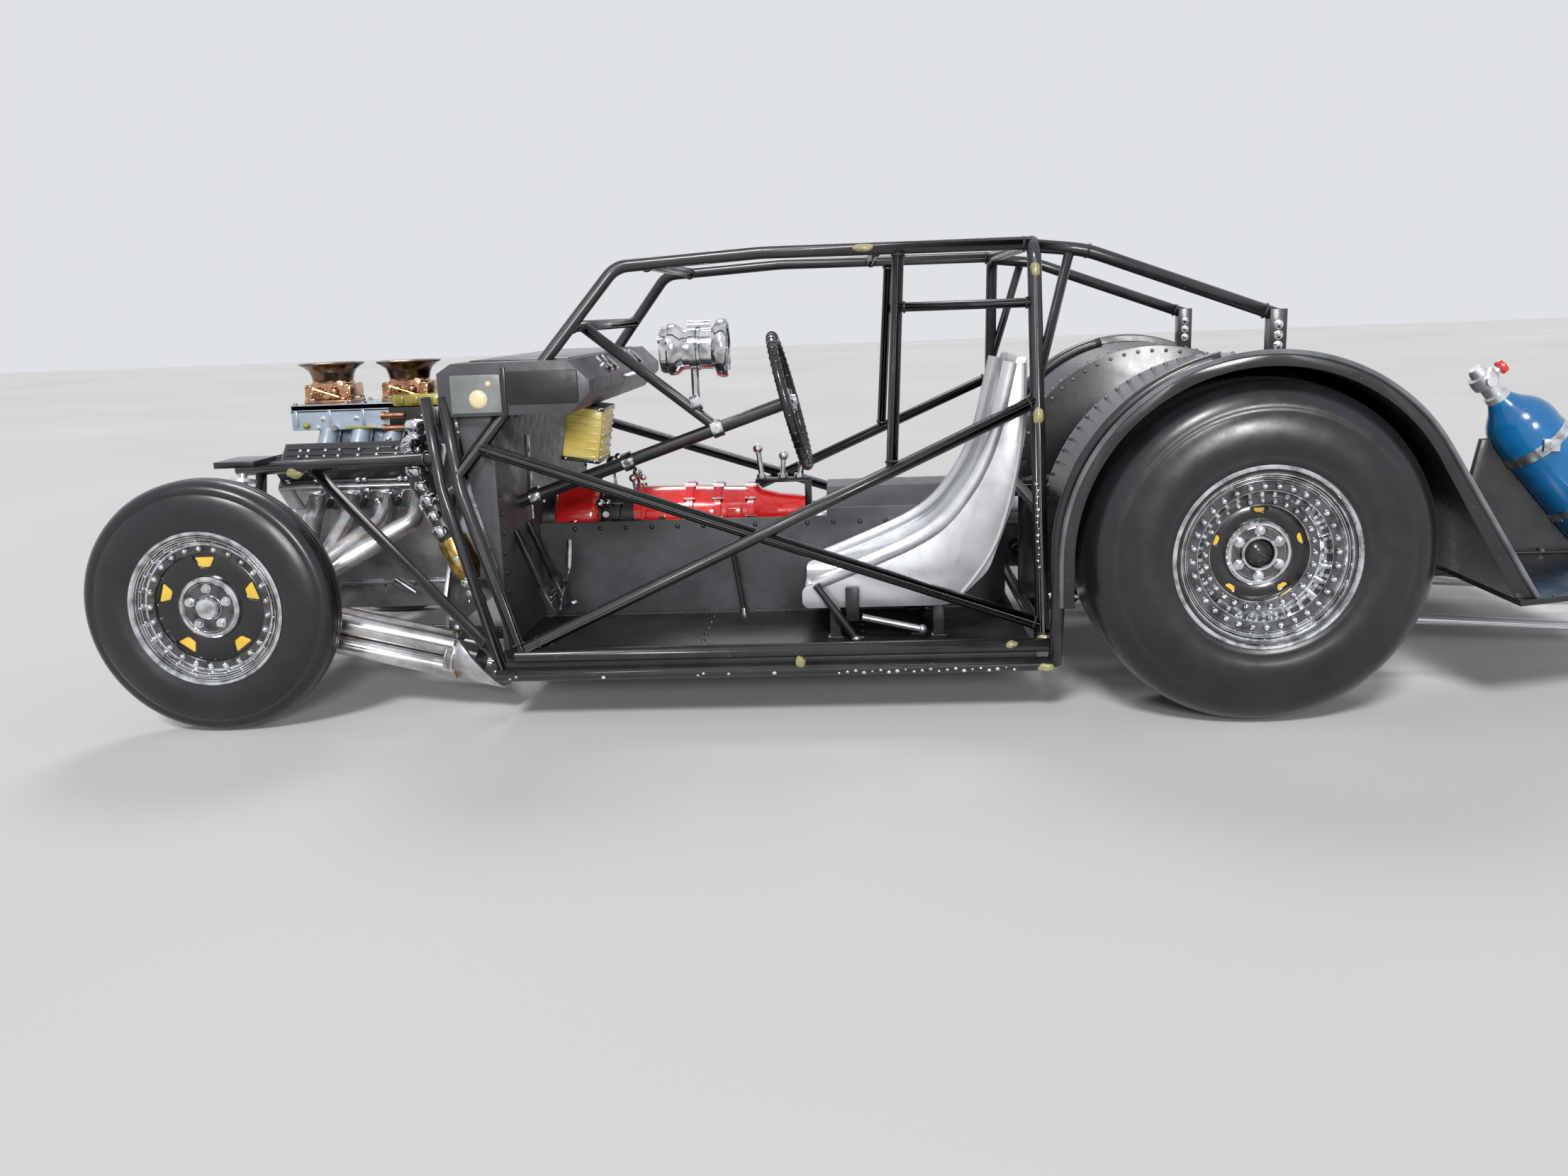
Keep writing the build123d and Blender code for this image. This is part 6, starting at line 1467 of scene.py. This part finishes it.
def build_small_fittings():
    """Small bright lumps and rods on and round the frame, and the floor's dark post and straps."""
    shine = []
    for x, y, z, size in ((85.6, 24.6, 11.0, 0.7), (85.1, 24.9, 9.9, 0.5), (98.6, 12.2, 23.9, 0.5),
                          (97.5, 12.2, 22.7, 0.5), (73.4, 18.0, 10.8, 0.45), (17.6, 20.6, 18.5, 0.6),
                          (16.8, 20.6, 17.4, 0.5), (93.0, 11.9, 29.6, 0.5), (95.6, 11.9, 29.9, 0.4)):
        shine.append(ball((x, y, z), size, 0.8, 3))
    shine.append(bar((73.3, 18, 18.3), (73.6, 18, 15.0), 0.42, 12))
    shine.append(bar((73.6, 18, 15.0), (75.1, 18, 10.0), 0.2, 8))
    shine.append(bar((79.4, 10, 29.7), (79.5, 10, 19.6), 0.25, 10))
    shine.append(bar((19.2, 20, 10.9), (15.5, 20, 10.8), 0.5, 12))
    shine.append(bar((97.1, 10, 12.5), (94.7, 10, 10.8), 0.5, 12))
    shine.append(disc(54.5, 8.0, 7.2, UP, 0.55, 0.6, 12))
    keep(joined(*shine), "small_fittings", CHROME)
    post = bar((55.6, 8, 14.7), (54.5, 8, 7.2), 0.32, 10)
    straps = [slab(33.0, 34.6, y - 0.5, y + 0.5, 6.9, 7.2, 0.08) for y in (8.9, 21.1)]
    keep(joined(post, *straps), "floor_posts", SATIN_BLACK)
    return set()


PLAIN = {
    # slot: material, edge rounding in millimetres
    "frame_black": (BLACK_FRAME, 0.0), "floor_black": (SATIN_BLACK, 0.08), "panel_grey": (PANEL_GREY, 0.08),
    "tub_grey": (TUB_GREY, 0.08), "tyre": (TYRE, 0.0), "rim_chrome": (CHROME, 0.0),
    "wheelie_black": (SATIN_BLACK, 0.0), "seat_silver": (SILVER, 0.15), "engine_alloy": (ALLOY, 0.12),
    "cover_black": (BLACK_FRAME, 0.1), "manifold_blue": (PALE_BLUE, 0.12), "carb_brass": (COPPER, 0.0),
    "chrome_trim": (CHROME, 0.0), "gearbox_red": (RED, 0.0), "bar_silver": (SILVER, 0.0),
    "bottle_blue": (BLUE, 0.0), "box_yellow": (YELLOW, 0.15),
}


def build_rest(done):
    """Every node that no finer piece stands for, in its own form with its finish."""
    for node in sorted(frame["nodes"]):
        if node in done:
            continue
        material, edge = PLAIN[SLOTS[node]]
        piece = dressed(node, edge * MM)
        keep(piece, piece.name, material, BODIES[node], turn=None)


DONE = set()
for build in (
    build_wheels, build_heads_and_covers, build_manifold, build_carburettors, build_breathers,
    build_belt_drive, build_seat, build_steering, build_tachometer, build_ignition_box, build_gearbox,
    build_levers, build_headers, build_catch_can, build_springs, build_bottle, build_wheelie_wheels,
    build_dash, build_brackets, build_tub_trim, build_welds, build_fasteners, build_small_fittings,
):
    DONE |= build()
build_rest(DONE)


def build_stage():
    """Plain pale floor and backdrop."""
    clear()
    bpy.ops.mesh.primitive_plane_add(size=3.0, location=(0.0, 0.0, 0.0))
    floor = bpy.context.object
    floor.name = "floor"
    s = Shades("floor_paper", Roughness=0.9, Specular_IOR_Level=0.0)
    s.colour(s.ramp(s.noise(6.0, 2.0), (0.3, (0.72, 0.72, 0.71)), (0.7, (0.78, 0.78, 0.77))))
    floor.data.materials.append(s.material)


WORLD_LIGHT, WORLD_SEEN = 0.22, 0.8


def build_world():
    """Pale surroundings for the eye and for gloss, softer light for the rest."""
    world = bpy.data.worlds.new("studio")
    bpy.context.scene.world = world
    world.use_nodes = True
    tree = world.node_tree
    sky = tree.nodes["Background"]
    path = tree.nodes.new("ShaderNodeLightPath")
    seen = tree.nodes.new("ShaderNodeMath")
    seen.operation = "MAXIMUM"
    tree.links.new(path.outputs["Is Camera Ray"], seen.inputs[0])
    tree.links.new(path.outputs["Is Glossy Ray"], seen.inputs[1])
    both = tree.nodes.new("ShaderNodeMath")
    both.operation = "MAXIMUM"
    tree.links.new(seen.outputs[0], both.inputs[0])
    tree.links.new(path.outputs["Is Transmission Ray"], both.inputs[1])
    level = tree.nodes.new("ShaderNodeMapRange")
    level.inputs["To Min"].default_value = WORLD_LIGHT
    level.inputs["To Max"].default_value = WORLD_SEEN
    tree.links.new(both.outputs[0], level.inputs["Value"])
    tree.links.new(level.outputs["Result"], sky.inputs["Strength"])
    sky.inputs["Color"].default_value = (0.93, 0.95, 1.0, 1.0)


def lamp(name, place, strength, spread):
    """Soft lamp far off in the direction of a place, so that the whole floor is evenly lit."""
    light = bpy.data.lights.new(name, "SUN")
    light.energy = strength
    light.angle = radians(spread)
    holder = bpy.data.objects.new(name, light)
    holder.location = place
    holder.rotation_euler = (-Vector(place)).to_track_quat("-Z", "Y").to_euler()
    bpy.context.scene.collection.objects.link(holder)


def build_lamps():
    """Key from the left and above, a low fill beside it, and a weaker lamp from the right."""
    lamp("key_lamp", (0.5, 2.3, 2.3), 1.78, 12.0)
    lamp("fill_lamp", (-0.5, 2.6, 0.8), 1.42, 12.0)
    lamp("rim_lamp", (0.3, -2.3, 2.4), 0.75, 20.0)


PHOTO_WIDTH = 2212
FOCAL_PIXELS = 1850.0
CAMERA_SPOT = (40.23, 165.21, 43.15)
CAMERA_YAW, CAMERA_PITCH, CAMERA_ROLL = radians(3.368), radians(11.957), radians(-2.113)


def build_camera():
    """Camera at the photograph's viewing angle."""
    data = bpy.data.cameras.new("camera")
    data.sensor_width = 36.0
    data.lens = data.sensor_width * FOCAL_PIXELS / PHOTO_WIDTH
    data.clip_start, data.clip_end = 0.01, 10.0
    camera = bpy.data.objects.new("camera", data)
    bpy.context.scene.collection.objects.link(camera)
    yawed = Matrix.Rotation(CAMERA_YAW, 3, "Z")
    ahead, right, up = yawed @ Vector((0, -1, 0)), yawed @ Vector((-1, 0, 0)), Vector(UP)
    ahead, up = (
        ahead * cos(CAMERA_PITCH) - up * sin(CAMERA_PITCH),
        up * cos(CAMERA_PITCH) + ahead * sin(CAMERA_PITCH),
    )
    right, up = (
        right * cos(CAMERA_ROLL) + up * sin(CAMERA_ROLL),
        up * cos(CAMERA_ROLL) - right * sin(CAMERA_ROLL),
    )
    turn = Matrix((right, up, -ahead)).transposed().to_4x4()
    camera.matrix_world = Matrix.Translation(spot(*CAMERA_SPOT)) @ turn
    bpy.context.scene.camera = camera


build_stage()
build_world()
build_lamps()
build_camera()
bpy.context.scene.view_settings.view_transform = "Standard"
